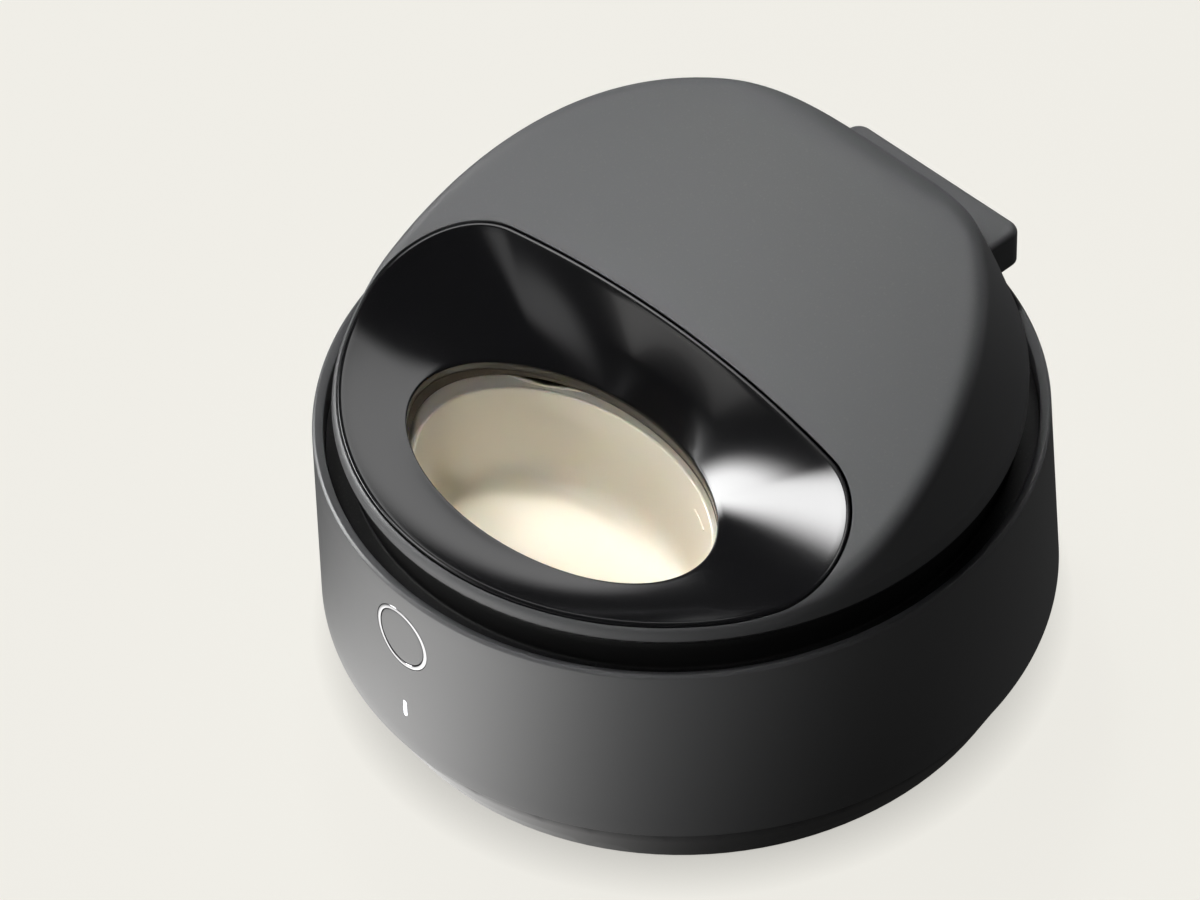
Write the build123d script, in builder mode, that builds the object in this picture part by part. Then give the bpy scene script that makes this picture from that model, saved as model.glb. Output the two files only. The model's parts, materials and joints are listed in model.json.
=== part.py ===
from build123d import *
from math import atan2, copysign, cos, degrees, pi, radians, sin, sqrt, tan
import os

# Automatic wet food feeder, in millimetres.
# The origin is the centre of the round body on the table, +Z is up and the front is -Y.

# Outer body
body_r = 155.0
seam_r = 160.7
skirt_bottom_r = 147.9
foot_h = 3.0
floor_t = 3.0
seam_z = 31.0
seam_gap = 0.6
body_top_z = 123.3
body_wall = 3.5
skirt_wall = 3.0
rim_chamfer = 1.2
rim_inner_r = 150.4
rim_drop = 1.7

# Groove and neck under the lid
neck_r = 141.0
neck_wall = 3.2
neck_top_z = 131.0
neck_chamfer = 1.0
groove_floor_z = 113.0
groove_floor_t = 2.5
ledge_r = 131.0
fit_gap = 0.2
seat_gap = 0.3
column_r = 4.5
column_count = 6
skirt_lip_h = 5.0

# Cooling well and its insulation
well_r = 126.0
well_wall = 1.5
well_flange_z = 117.0
well_floor_z = 67.5
well_fillet = 8.0
foam_t = 8.0
foam_floor_t = 6.0

# Food tray
tray_r = 122.5
tray_top_z = 114.5
tray_wall = 2.2
tray_deck_t = 3.0
bowl_count = 3
bowl_a = 75.0
bowl_b = 48.0
bowl_centre_r = 67.4
bowl_depth = 40.0
bowl_taper = 12.0
bowl_floor_fillet = 13.0
tray_hub_r = 16.0

# Turntable drive
shaft_r = 5.0
shaft_clearance = 0.06
hub_flange_r = 24.0
hub_flange_t = 2.2
hub_post_r = 9.0
hub_lobe_r = 3.0
hub_post_h = 14.0
hub_chamfer = 0.8
post_clearance = 0.3
bush_r = 9.0
bush_flange_r = 13.0
bush_flange_t = 1.5
tray_gear_teeth = 40
tray_pinion_teeth = 12
tray_gear_module = 1.5
tray_gear_t = 8.0
tray_gear_z = 42.0
gear_hole_count = 6
gear_hole_r = 4.5
tray_motor_r = 17.0
tray_motor_ear = 8.0
tray_motor_ear_t = 3.0
motor_round = 1.2
motor_shaft_r = 2.5
motor_gap = 3.0
motor_bore = 3.0
pinion_shaft = motor_gap + motor_bore - 0.3

# Cooling stack behind the shaft
stack_y = 72.0
cold_plate_size = 60.0
cold_plate_t = 6.0
cooler_size = 40.0
cooler_t = 4.0
sink_size = 70.0
sink_base_t = 5.0
sink_fin_h = 18.0
sink_fin_count = 12
sink_fin_t = 1.4
plate_corner_r = 3.0
fan_size = 80.0
fan_t = 15.0
fan_corner_r = 5.0
fan_bore_r = 37.0
fan_hub_r = 16.0
fan_tip_gap = 1.5
fan_blades = 7
fan_blade_t = 1.6
fan_blade_root = 11.0
fan_blade_tip = 14.0
fan_spider_w = 3.0
fan_spider_t = 2.0
fan_pin_r = 2.5
fan_pin_h = 6.0
fan_foot_r = 3.5
fan_root_pitch = 38.0
fan_tip_pitch = 20.0
air_slot_pitch = 9.0
air_slot_count = 7
air_slot_l = 50.0
air_slot_w = 3.2

# Lid
lid_r = 145.5
lid_edge_z = 133.7
lid_front_z = 140.2
lid_rise = 55.6
rise_start_y = -83.2
rise_end_y = 100.1
back_fall = 0.0239
shoulder = [
    (145.5, 141.5),
    (144.1, 146.2),
    (142.1, 152.3),
    (138.1, 164.0),
    (133.4, 176.3),
    (127.7, 190.0),
    (120.0, 206.0),
    (106.0, 228.0),
    (0.0, 262.0),
]
brow_z = 136.0
brow_r = 4.0
skin_points = 16
lid_wall = 2.7
lid_edge_chamfer = 0.8
lid_plate_z = 120.0
lid_plate_t = 3.0
lid_plate_r = 135.5
lid_plate_wall = 2.5
lid_lift_gap = 0.5
lid_brim_r = 144.6
lid_brim_t = 1.9
gasket_r = 127.5
gasket_w = 4.5
gasket_gap = 0.3

# Feeding scoop in the lid
scoop_front_r = 142.4
scoop_corner_x = 91.0
scoop_corner_r = 40.5
scoop_back_y = 1.0
scoop_gap = 0.9
scoop_rim_w = 1.4
scoop_wall = 4.0
opening_a = 79.2
opening_b = 48.0
opening_y = -67.0
opening_front_z = 135.0
opening_back_z = 125.0
lip_wall = 3.0
lip_gap = 0.6

# Rotary shutter under the lid
shutter_z = 117.0
shutter_t = 1.8
shutter_r = 121.0
shutter_half_angle = 63.0
shutter_hub_r = 16.5
shutter_pin_r = 3.5
shutter_gear_teeth = 26
shutter_pinion_teeth = 13
shutter_gear_module = 1.0
shutter_gear_t = 3.6
shutter_gear_gap = 0.4
bridge_t = 3.0
bridge_w = 44.0
bridge_front = -8.0
bridge_back = 36.0
bridge_corner_r = 8.0
clip_r = 6.0
clip_t = 1.0
shutter_shaft_r = 1.5
shutter_motor_r = 12.0
shutter_motor_h = 22.0

# Front button, light and control board
button_z = 96.8
button_ring_r = 15.5
button_ring_w = 1.9
button_proud = 0.5
button_gap = 0.3
button_travel = 1.5
button_cap_t = 3.2
button_flange_t = 1.5
button_stem_r = 2.5
button_tab_w = 8.0
button_skin = 2.0
ring_depth = 5.4
light_z = 54.9
light_w = 2.2
light_h = 9.0
light_gap = 0.15
board_w = 60.0
board_t = 1.6
board_low_z = 44.0
board_corner_r = 2.0
board_inset = 3.5
switch_size = 6.0
switch_h = 3.5
plunger_r = 1.75
plunger_h = 1.0
press_left = 0.1

# Rear parts
hinge_y = 149.0
hinge_z = 134.0
hinge_pin_r = 2.5
hinge_pin_clearance = 0.05
hinge_boss_r = 5.5
hinge_ear_x = 18.0
hinge_ear_w = 11.0
hinge_side_gap = 0.4
hinge_foot_t = 3.0
hinge_cover_half = 50.0
hinge_cover_top = 152.0
hinge_cover_back = 155.0
hinge_cover_front = 131.0
hinge_cover_round = 3.5
vent_w = 74.0
vent_low_z = 40.0
vent_high_z = 66.0
vent_slots = 6
vent_slot_h = 2.2
vent_plate_t = 2.0
vent_rim = 4.0
inlet_turn = 23.0
inlet_z = 52.0
inlet_w = 11.0
inlet_depth = 14.0
inlet_bore_r = 2.9
inlet_pin_r = 0.9

# Feet and screws
foot_r = 9.0
foot_ring_r = 128.0
foot_count = 4
foot_recess = 1.0
foot_chamfer = 0.8
screw_r = 1.6
screw_head_r = 3.2
screw_head_h = 2.0
screw_length = 14.0
screw_clearance = 0.05

# Gear teeth, and how many points the curved faces are drawn through
pressure_angle = 20.0
gear_backlash = 0.25
tooth_tip = 0.75
tooth_root = 1.1
flank_points = 4
outline_points = 60

floor_z = foot_h
floor_top_z = floor_z + floor_t
neck_inner_r = neck_r - neck_wall
groove_under_z = groove_floor_z - groove_floor_t
skirt_top_z = seam_z - seam_gap
well_bottom_z = well_floor_z - well_wall
bowl_floor_z = tray_top_z - bowl_depth
tray_under_z = bowl_floor_z - tray_wall
hub_flange_z = tray_under_z - hub_flange_t

os.makedirs("parts", exist_ok=True)


def save(builder, label):
    """Labels a finished sub-part and writes its STEP file."""
    builder.part.label = label
    export_step(builder.part, f"parts/{label}.step")


def wall_radius(z, inset=0.0):
    """Radius of the body's outer wall at height z, which widens down to the seam."""
    share = (body_top_z - z) / (body_top_z - seam_z)
    return body_r + (seam_r - body_r) * share - inset


def lid_height(y):
    """Height of the lid's skin along its middle: level at the front, then a smooth rise."""
    share = min(max((y - rise_start_y) / (rise_end_y - rise_start_y), 0.0), 1.0)
    hump = lid_rise * share * share * (3 - 2 * share)
    return lid_front_z + hump - back_fall * max(y - rise_end_y, 0.0) ** 2


def lid_block(drop):
    """Solid lid down to the groove, its skin moved inwards by a drop."""
    with BuildPart() as block:
        with BuildSketch(Plane.YZ.offset(-lid_r)):
            with BuildLine():
                steps = [lid_r * (2 * i / skin_points - 1) for i in range(skin_points + 1)]
                skin = Spline(*[(y, lid_height(y) - drop) for y in steps])
                Polyline(skin @ 1, (lid_r, groove_floor_z), (-lid_r, groove_floor_z), skin @ 0)
            make_face()
        extrude(amount=2 * lid_r)
        with BuildSketch(Plane.XZ):
            with BuildLine():
                dome = Spline(*[(r - drop, z - drop) for r, z in shoulder], tangents=[(0, 1), (-1, 0)])
                Polyline(dome @ 0, (lid_r - drop, groove_floor_z), (-drop, groove_floor_z), dome @ 1)
            make_face()
            Rectangle(lid_r, 4 * lid_r, align=(Align.MIN, Align.CENTER), mode=Mode.INTERSECT)
        revolve(axis=Axis.Z, mode=Mode.INTERSECT)
        fillet([e for e in block.edges() if (e @ 0).Z > brow_z], radius=brow_r - drop)
    return block.part


# Corner and back arcs that close the front arc of the scoop's outline
corner_y = -sqrt((scoop_front_r - scoop_corner_r) ** 2 - scoop_corner_x**2)
back_span = scoop_back_y - corner_y
back_r = (scoop_corner_x**2 + back_span**2 - scoop_corner_r**2) / (2 * (back_span - scoop_corner_r))
back_y = scoop_back_y - back_r
front_join = degrees(atan2(corner_y, scoop_corner_x))
back_join = degrees(atan2(corner_y - back_y, scoop_corner_x))


def scoop_outline(grow):
    """Plan outline of the scoop, four tangent arcs, grown or shrunk by a distance."""
    CenterArc((0, 0), scoop_front_r + grow, 180 - front_join, 180 + 2 * front_join)
    CenterArc((scoop_corner_x, corner_y), scoop_corner_r + grow, front_join, back_join - front_join)
    CenterArc((0, back_y), back_r + grow, back_join, 180 - 2 * back_join)
    CenterArc((-scoop_corner_x, corner_y), scoop_corner_r + grow, 180 - back_join, back_join - front_join)


def outline_point(angle, grow):
    """Point of the scoop's outline in one direction from the middle of the opening."""
    way = Vector(cos(angle), sin(angle))

    def reach(x, y, radius):
        px = -x
        py = opening_y - y
        along = px * way.X + py * way.Y
        return -along + sqrt(along**2 - (px**2 + py**2 - radius**2))

    side = copysign(scoop_corner_x, way.X)
    far = min(reach(0, 0, scoop_front_r + grow), reach(0, back_y, back_r + grow))
    x = abs(way.X) * far - scoop_corner_x
    y = opening_y + way.Y * far - corner_y
    if front_join < degrees(atan2(y, x)) < back_join:
        far = reach(side, corner_y, scoop_corner_r + grow)
    return way.X * far, opening_y + way.Y * far


opening_slope = (opening_front_z - opening_back_z) / (2 * opening_b)
opening_mid_z = (opening_front_z + opening_back_z) / 2


def opening_height(y):
    """Height of the tilted plane that the food opening's edge lies in."""
    return opening_mid_z - opening_slope * (y - opening_y)


funnel_clearance = 2.0
funnel_edge = 1.0
funnel_low = lid_height(-scoop_front_r) + funnel_clearance
funnel_high = lid_height(scoop_back_y) + funnel_clearance
funnel_slope = (funnel_high - funnel_low) / (scoop_back_y + scoop_front_r)


def funnel(drop):
    """Solid with straight sloping sides, from the food opening up through the lid's skin."""
    low = []
    high = []
    for i in range(outline_points):
        turn = 2 * pi * i / outline_points
        start_y = opening_y + (opening_b - funnel_edge) * sin(turn)
        start = Vector((opening_a - funnel_edge) * cos(turn), start_y, opening_height(start_y))
        x, y = outline_point(atan2(start.Y - opening_y, start.X), -scoop_rim_w)
        line = Vector(x, y, lid_height(y)) - start
        start = start - Vector(0, 0, drop)
        below = funnel_low + funnel_slope * (start.Y + scoop_front_r) - start.Z
        low.append(start)
        high.append(start + line * (below / (line.Z - funnel_slope * line.Y)))
    shares = [i / outline_points for i in range(outline_points + 1)]
    low_edge = Edge.make_spline(low, periodic=True, parameters=shares)
    high_edge = Edge.make_spline(high, periodic=True, parameters=shares)
    return Solid.make_loft([Wire([low_edge]), Wire([high_edge])], ruled=True)


def involute_gear(teeth, module, bore_r, first_tooth):
    """Spur gear outline with involute flanks, thinned a little for backlash."""
    pitch_r = teeth * module / 2
    base_r = pitch_r * cos(radians(pressure_angle))
    tip_r = pitch_r + tooth_tip * module
    root_r = pitch_r - tooth_root * module
    half_tooth = pi / (2 * teeth) - gear_backlash / (2 * pitch_r)
    turn = tan(radians(pressure_angle)) - radians(pressure_angle)
    start_r = max(base_r, root_r)
    flank = []
    for i in range(flank_points):
        r = start_r + (tip_r - start_r) * i / (flank_points - 1)
        roll = sqrt(max(r**2 / base_r**2 - 1, 0))
        spread = roll - atan2(roll, 1)
        flank.append((r, half_tooth + turn - spread))
    Circle(root_r)
    inner = [(root_r - module / 2, flank[0][1])]
    right = inner + flank
    corners = [(r * cos(-a), r * sin(-a)) for r, a in right]
    corners += [(r * cos(a), r * sin(a)) for r, a in reversed(right)]
    with PolarLocations(0, teeth, start_angle=first_tooth):
        Polygon(*corners, align=None)
    Circle(bore_r, mode=Mode.SUBTRACT)

# Outer wall of the base, widening downwards, with its rolled rim
inlet_way = Vector(-sin(radians(inlet_turn)), cos(radians(inlet_turn)), 0)
inlet_plane = Plane((0, 0, inlet_z), x_dir=(-inlet_way.Y, inlet_way.X, 0), z_dir=inlet_way)
with BuildPart() as base_shell:
    with BuildSketch(Plane.XZ):
        with BuildLine():
            Polyline(
                (seam_r, seam_z),
                (body_r, body_top_z - rim_chamfer),
                (body_r - rim_chamfer, body_top_z),
                (rim_inner_r, body_top_z - rim_drop),
                (rim_inner_r, groove_under_z),
                (wall_radius(groove_under_z, body_wall), groove_under_z - body_wall),
                (wall_radius(seam_z, body_wall), seam_z),
                close=True,
            )
        make_face()
    revolve(axis=Axis.Z)
    with BuildSketch(Plane.XZ.offset(neck_r)):
        with Locations((0, button_z)):
            Circle(button_ring_r + fit_gap)
        with Locations((0, light_z)):
            SlotCenterToCenter(light_h - light_w, light_w + 2 * light_gap, rotation=90)
    extrude(amount=seam_r - neck_r + 1, mode=Mode.SUBTRACT)
    with BuildSketch(Plane.XZ.offset(-neck_r)):
        with Locations((0, (vent_low_z + vent_high_z) / 2)):
            Rectangle(vent_w, vent_high_z - vent_low_z)
    extrude(amount=-(seam_r - neck_r + 1), mode=Mode.SUBTRACT)
    with BuildSketch(inlet_plane.offset(neck_r)):
        Rectangle(inlet_w + 2 * fit_gap, inlet_w + 2 * fit_gap)
    extrude(amount=seam_r - neck_r + 1, mode=Mode.SUBTRACT)
save(base_shell, "base_shell")

# Dark lower skirt with the floor, its air slots and the columns that carry the neck
column_ring_r = neck_inner_r + neck_wall / 2
lip_z = seam_z + skirt_lip_h
with BuildPart() as base_skirt:
    with BuildSketch(Plane.XZ):
        with BuildLine():
            Polyline(
                (0, floor_z),
                (skirt_bottom_r, floor_z),
                (seam_r - seam_gap, skirt_top_z),
                (wall_radius(seam_z, body_wall) - fit_gap, skirt_top_z),
                (wall_radius(lip_z, body_wall) - fit_gap, lip_z),
                (wall_radius(lip_z, body_wall) - fit_gap - skirt_wall, lip_z),
                (wall_radius(seam_z, body_wall) - fit_gap - skirt_wall, skirt_top_z - skirt_wall),
                (skirt_bottom_r - skirt_wall, floor_top_z),
                (0, floor_top_z),
                close=True,
            )
        make_face()
    revolve(axis=Axis.Z)
    with BuildSketch(Plane.XY.offset(floor_top_z)):
        with PolarLocations(column_ring_r, column_count, start_angle=90 + 180 / column_count):
            Circle(column_r)
    extrude(amount=groove_under_z - floor_top_z)
    with BuildSketch(Plane.XY.offset(floor_z)):
        with Locations((0, stack_y)):
            with GridLocations(0, air_slot_pitch, 1, air_slot_count):
                SlotCenterToCenter(air_slot_l, air_slot_w)
    extrude(amount=floor_t, mode=Mode.SUBTRACT)
    with BuildSketch(Plane.XY.offset(floor_z)):
        with PolarLocations(foot_ring_r, foot_count, start_angle=45):
            Circle(foot_r)
    extrude(amount=foot_recess, mode=Mode.SUBTRACT)
    with BuildSketch(Plane.XY.offset(floor_z)):
        with PolarLocations(column_ring_r, column_count, start_angle=90 + 180 / column_count):
            Circle(screw_head_r + fit_gap)
    extrude(amount=screw_head_h + fit_gap, mode=Mode.SUBTRACT)
    with BuildSketch(Plane.XY.offset(floor_z)):
        with PolarLocations(column_ring_r, column_count, start_angle=90 + 180 / column_count):
            Circle(screw_r + screw_clearance)
    extrude(amount=screw_length + screw_head_h + 2 * fit_gap, mode=Mode.SUBTRACT)
save(base_skirt, "base_skirt")

# Rubber feet
with BuildPart() as feet:
    with BuildSketch():
        with PolarLocations(foot_ring_r, foot_count, start_angle=45):
            Circle(foot_r - fit_gap)
    extrude(amount=foot_h + foot_recess)
    chamfer(feet.edges().group_by(Axis.Z)[0], length=foot_chamfer)
save(feet, "feet")

# Screws up through the floor into the columns
with BuildPart() as base_screws:
    with BuildSketch(Plane.XY.offset(floor_z + fit_gap)):
        with PolarLocations(column_ring_r, column_count, start_angle=90 + 180 / column_count):
            Circle(screw_head_r)
    extrude(amount=screw_head_h)
    with BuildSketch(Plane.XY.offset(floor_z + fit_gap + screw_head_h)):
        with PolarLocations(column_ring_r, column_count, start_angle=90 + 180 / column_count):
            Circle(screw_r)
    extrude(amount=screw_length)
save(base_screws, "base_screws")

# Recessed neck that the lid stands over, with the groove's floor and the well's ledge
with BuildPart() as neck_ring:
    with BuildSketch(Plane.XZ):
        with BuildLine():
            Polyline(
                (rim_inner_r - fit_gap, groove_under_z),
                (rim_inner_r - fit_gap, groove_floor_z),
                (neck_r, groove_floor_z),
                (neck_r, neck_top_z - neck_chamfer),
                (neck_r - neck_chamfer, neck_top_z),
                (neck_inner_r, neck_top_z),
                (neck_inner_r, well_flange_z - well_wall),
                (ledge_r, well_flange_z - well_wall),
                (ledge_r, groove_under_z),
                close=True,
            )
        make_face()
    revolve(axis=Axis.Z)
save(neck_ring, "neck_ring")

# Aluminium well that the tray turns in
with BuildPart() as cooling_well:
    with BuildSketch(Plane.XZ):
        with BuildLine():
            Polyline(
                (bush_r + fit_gap / 4, well_bottom_z),
                (well_r + well_wall, well_bottom_z),
                (well_r + well_wall, well_flange_z - well_wall),
                (neck_inner_r - 2 * fit_gap, well_flange_z - well_wall),
                (neck_inner_r - 2 * fit_gap, well_flange_z),
                (well_r, well_flange_z),
                (well_r, well_floor_z),
                (bush_r + fit_gap / 4, well_floor_z),
                close=True,
            )
        make_face()
    revolve(axis=Axis.Z)
    floor_edges = cooling_well.edges().filter_by(GeomType.CIRCLE).group_by(Axis.Z)[1]
    fillet(floor_edges.sort_by(SortBy.RADIUS)[-1], radius=well_fillet)
save(cooling_well, "cooling_well")

# Foam cup round the well, cut away for the cold plate and the shaft
foam_top_z = groove_under_z - fit_gap
foam_low_z = well_bottom_z - foam_floor_t
with BuildPart() as insulation:
    with BuildSketch(Plane.XZ):
        with BuildLine():
            Polyline(
                (0, foam_low_z),
                (well_r + foam_t, foam_low_z),
                (well_r + foam_t, foam_top_z),
                (well_r + well_wall + 2 * fit_gap, foam_top_z),
                (well_r + well_wall + 2 * fit_gap, well_bottom_z),
                (0, well_bottom_z),
                close=True,
            )
        make_face()
    revolve(axis=Axis.Z)
    with BuildSketch(Plane.XY.offset(foam_low_z)):
        Circle(bush_flange_r + 3)
        with Locations((0, stack_y)):
            Rectangle(cold_plate_size + 1, cold_plate_size + 1)
    extrude(amount=foam_floor_t, mode=Mode.SUBTRACT)
save(insulation, "insulation")

# Flanged bush that guides the turntable's shaft through the well
with BuildPart() as shaft_bush:
    with BuildSketch(Plane.XZ):
        with BuildLine():
            Polyline(
                (shaft_r + shaft_clearance, tray_gear_z + tray_gear_t + 2),
                (bush_r, tray_gear_z + tray_gear_t + 2),
                (bush_r, well_bottom_z - bush_flange_t),
                (bush_flange_r, well_bottom_z - bush_flange_t),
                (bush_flange_r, well_bottom_z),
                (bush_r, well_bottom_z),
                (bush_r, hub_flange_z - seat_gap),
                (shaft_r + shaft_clearance, hub_flange_z - seat_gap),
                close=True,
            )
        make_face()
    revolve(axis=Axis.Z)
save(shaft_bush, "shaft_bush")

# Hub with a three-lobed post that lifts and turns the tray
with BuildPart() as drive_hub:
    with BuildSketch(Plane.XY.offset(tray_gear_z)):
        Circle(shaft_r)
    extrude(amount=hub_flange_z - tray_gear_z)
    with BuildSketch(Plane.XY.offset(hub_flange_z)):
        Circle(hub_flange_r)
    extrude(amount=hub_flange_t)
    with BuildSketch(Plane.XY.offset(tray_under_z)):
        Circle(hub_post_r)
        with PolarLocations(hub_post_r, bowl_count, start_angle=90):
            Circle(hub_lobe_r)
    extrude(amount=hub_post_h)
    chamfer(drive_hub.edges().group_by(Axis.Z)[-1], length=hub_chamfer)
save(drive_hub, "drive_hub")

# Gear on the turntable's shaft and the motor pinion that turns it
tray_gear_x = (tray_gear_teeth + tray_pinion_teeth) * tray_gear_module / 2
with BuildPart() as tray_gear:
    with BuildSketch(Plane.XY.offset(tray_gear_z)):
        involute_gear(tray_gear_teeth, tray_gear_module, shaft_r, 180)
        with PolarLocations(tray_gear_teeth * tray_gear_module / 3, gear_hole_count, start_angle=30):
            Circle(gear_hole_r, mode=Mode.SUBTRACT)
    extrude(amount=tray_gear_t)
save(tray_gear, "tray_gear")

pinion_plane = Plane(origin=(-tray_gear_x, 0, tray_gear_z))
with BuildPart() as tray_pinion:
    with BuildSketch(pinion_plane):
        involute_gear(tray_pinion_teeth, tray_gear_module, motor_shaft_r, 180 / tray_pinion_teeth)
    extrude(amount=tray_gear_t)
    with BuildSketch(pinion_plane.offset(-pinion_shaft)):
        Circle(motor_shaft_r)
    extrude(amount=tray_gear_t + pinion_shaft)
save(tray_pinion, "tray_pinion")

# Geared motor for the turntable, standing on the floor
tray_motor_top = tray_gear_z - motor_gap
with BuildPart() as tray_motor:
    with BuildSketch(Plane((-tray_gear_x, 0, floor_top_z))):
        Circle(tray_motor_r)
        with PolarLocations(tray_motor_r + tray_motor_ear / 4, 2, start_angle=90):
            SlotCenterToCenter(tray_motor_ear, tray_motor_ear, rotation=0)
    extrude(amount=tray_motor_ear_t)
    with BuildSketch(Plane((-tray_gear_x, 0, floor_top_z + tray_motor_ear_t))):
        Circle(tray_motor_r)
    extrude(amount=tray_motor_top - floor_top_z - tray_motor_ear_t)
    chamfer(tray_motor.edges().group_by(Axis.Z)[-1], length=motor_round)
    with BuildSketch(Plane((-tray_gear_x, 0, tray_motor_top - motor_bore))):
        Circle(motor_shaft_r + shaft_clearance)
    extrude(amount=motor_bore, mode=Mode.SUBTRACT)
save(tray_motor, "tray_motor")


def bowl_block(top_z, height, grow, number):
    """Solid oval bowl that narrows downwards, turned to its place in the tray."""
    plane = Plane((0, 0, top_z), x_dir=Vector(1, 0, 0).rotate(Axis.Z, number * 360 / bowl_count))
    shrink = height * tan(radians(bowl_taper))
    with BuildPart() as block:
        with BuildSketch(plane):
            with Locations((0, -bowl_centre_r)):
                Ellipse(bowl_a + grow, bowl_b + grow)
        with BuildSketch(plane.offset(-height)):
            with Locations((0, -bowl_centre_r)):
                Ellipse(bowl_a + grow - shrink, bowl_b + grow - shrink)
        loft()
        fillet(block.edges().group_by(Axis.Z)[0], radius=bowl_floor_fillet + grow)
    return block.part


# Lift-out tray with three oval bowls in a ring
with BuildPart() as food_tray:
    with BuildSketch(Plane.XY.offset(tray_top_z - tray_deck_t)):
        Circle(tray_r)
    extrude(amount=tray_deck_t)
    with BuildSketch(Plane.XY.offset(tray_under_z)):
        Circle(tray_hub_r)
    extrude(amount=bowl_depth)
    for number in range(bowl_count):
        add(bowl_block(tray_top_z - 1, tray_top_z - 1 - tray_under_z, tray_wall, number))
    for number in range(bowl_count):
        add(bowl_block(tray_top_z, bowl_depth, 0, number), mode=Mode.SUBTRACT)
    with BuildSketch(Plane.XY.offset(tray_under_z)):
        Circle(hub_post_r + post_clearance)
        with PolarLocations(hub_post_r, bowl_count, start_angle=90):
            Circle(hub_lobe_r + post_clearance)
    extrude(amount=hub_post_h + post_clearance, mode=Mode.SUBTRACT)
save(food_tray, "food_tray")

# Cold plate, thermoelectric cooler and finned heat sink under the well
cooler_z = well_bottom_z - cold_plate_t - cooler_t
sink_top_z = cooler_z
sink_low_z = sink_top_z - sink_base_t - sink_fin_h
with BuildPart() as cold_plate:
    with BuildSketch(Plane((0, stack_y, well_bottom_z - cold_plate_t))):
        RectangleRounded(cold_plate_size, cold_plate_size, plate_corner_r)
    extrude(amount=cold_plate_t)
save(cold_plate, "cold_plate")

with BuildPart() as cooler_tile:
    with BuildSketch(Plane((0, stack_y, cooler_z))):
        Rectangle(cooler_size, cooler_size)
    extrude(amount=cooler_t)
    with BuildSketch(Plane((0, stack_y, cooler_z + 1))):
        Rectangle(cooler_size + 2, cooler_size + 2)
        Rectangle(cooler_size - 2, cooler_size - 2, mode=Mode.SUBTRACT)
    extrude(amount=cooler_t - 2, mode=Mode.SUBTRACT)
save(cooler_tile, "cooler_tile")

with BuildPart() as heat_sink:
    with BuildSketch(Plane((0, stack_y, sink_top_z - sink_base_t))):
        Rectangle(sink_size, sink_size)
    extrude(amount=sink_base_t)
    with BuildSketch(Plane((0, stack_y, sink_low_z))):
        with GridLocations((sink_size - sink_fin_t) / (sink_fin_count - 1), 0, sink_fin_count, 1):
            Rectangle(sink_fin_t, sink_size)
    extrude(amount=sink_fin_h)
save(heat_sink, "heat_sink")

# Fan that draws air through the floor and over the fins
fan_z = sink_low_z - seat_gap - fan_t
with BuildPart() as fan_frame:
    with BuildSketch(Plane((0, stack_y, fan_z))):
        RectangleRounded(fan_size, fan_size, fan_corner_r)
        Circle(fan_bore_r, mode=Mode.SUBTRACT)
    extrude(amount=fan_t)
    with BuildSketch(Plane((0, stack_y, fan_z))):
        Circle(fan_hub_r - 2)
        with PolarLocations((fan_hub_r + fan_bore_r) / 2, 4, start_angle=45):
            Rectangle(fan_bore_r - fan_hub_r + 8, fan_spider_w)
    extrude(amount=fan_spider_t)
    with BuildSketch(Plane((0, stack_y, fan_z + fan_spider_t))):
        Circle(fan_pin_r)
    extrude(amount=fan_pin_h)
    with BuildSketch(Plane((0, stack_y, floor_top_z))):
        with GridLocations(fan_size - 10, fan_size - 10, 2, 2):
            Circle(fan_foot_r)
    extrude(amount=fan_z - floor_top_z)
save(fan_frame, "fan_frame")

with BuildPart() as fan_rotor:
    with BuildSketch(Plane((0, stack_y, fan_z + fan_spider_t + 0.5))):
        Circle(fan_hub_r)
        Circle(fan_pin_r + shaft_clearance, mode=Mode.SUBTRACT)
    extrude(amount=fan_t - 4)
    for i in range(fan_blades):
        turn = 2 * pi * i / fan_blades
        way = Vector(cos(turn), sin(turn), 0)
        middle = Vector(0, stack_y, fan_z + fan_t / 2)
        root = Plane(middle + way * (fan_hub_r - 2), x_dir=(-sin(turn), cos(turn), 0), z_dir=way)
        with BuildSketch(root):
            Rectangle(fan_blade_root, fan_blade_t, rotation=fan_root_pitch)
        with BuildSketch(root.offset(fan_bore_r - fan_tip_gap - fan_hub_r + 2)):
            Rectangle(fan_blade_tip, fan_blade_t, rotation=fan_tip_pitch)
        loft()
    with BuildSketch(Plane((0, stack_y, fan_z + fan_t - 3))):
        Circle(3)
    extrude(amount=1.5)
save(fan_rotor, "fan_rotor")

# Lid skin: a profile along the middle, cut by a domed shoulder, over a thin wall
lid_top_z = lid_front_z + lid_rise + lid_wall
lid_solid = lid_block(0)
lid_inside = lid_block(lid_wall)
with BuildPart() as lid_shell:
    add(lid_solid)
    with BuildSketch(Plane.XY.offset(lid_edge_z)):
        Circle(2 * lid_r)
    extrude(amount=-lid_rise, mode=Mode.SUBTRACT)
    chamfer(lid_shell.edges().group_by(Axis.Z)[0], length=lid_edge_chamfer)
    add(lid_inside, mode=Mode.SUBTRACT)
    with BuildSketch(Plane.XY.offset(lid_edge_z - 1)):
        with BuildLine():
            scoop_outline(scoop_gap)
        make_face()
    extrude(amount=lid_top_z - lid_edge_z, mode=Mode.SUBTRACT)
    with BuildSketch(Plane.XY.offset(lid_edge_z - 1)):
        with Locations((0, (hinge_cover_front + hinge_cover_back) / 2)):
            cover_depth = hinge_cover_back - hinge_cover_front
            Rectangle(2 * (hinge_cover_half + seat_gap), cover_depth + 2 * seat_gap)
    extrude(amount=hinge_cover_top + seat_gap - lid_edge_z + 1, mode=Mode.SUBTRACT)
save(lid_shell, "lid_shell")

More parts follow.
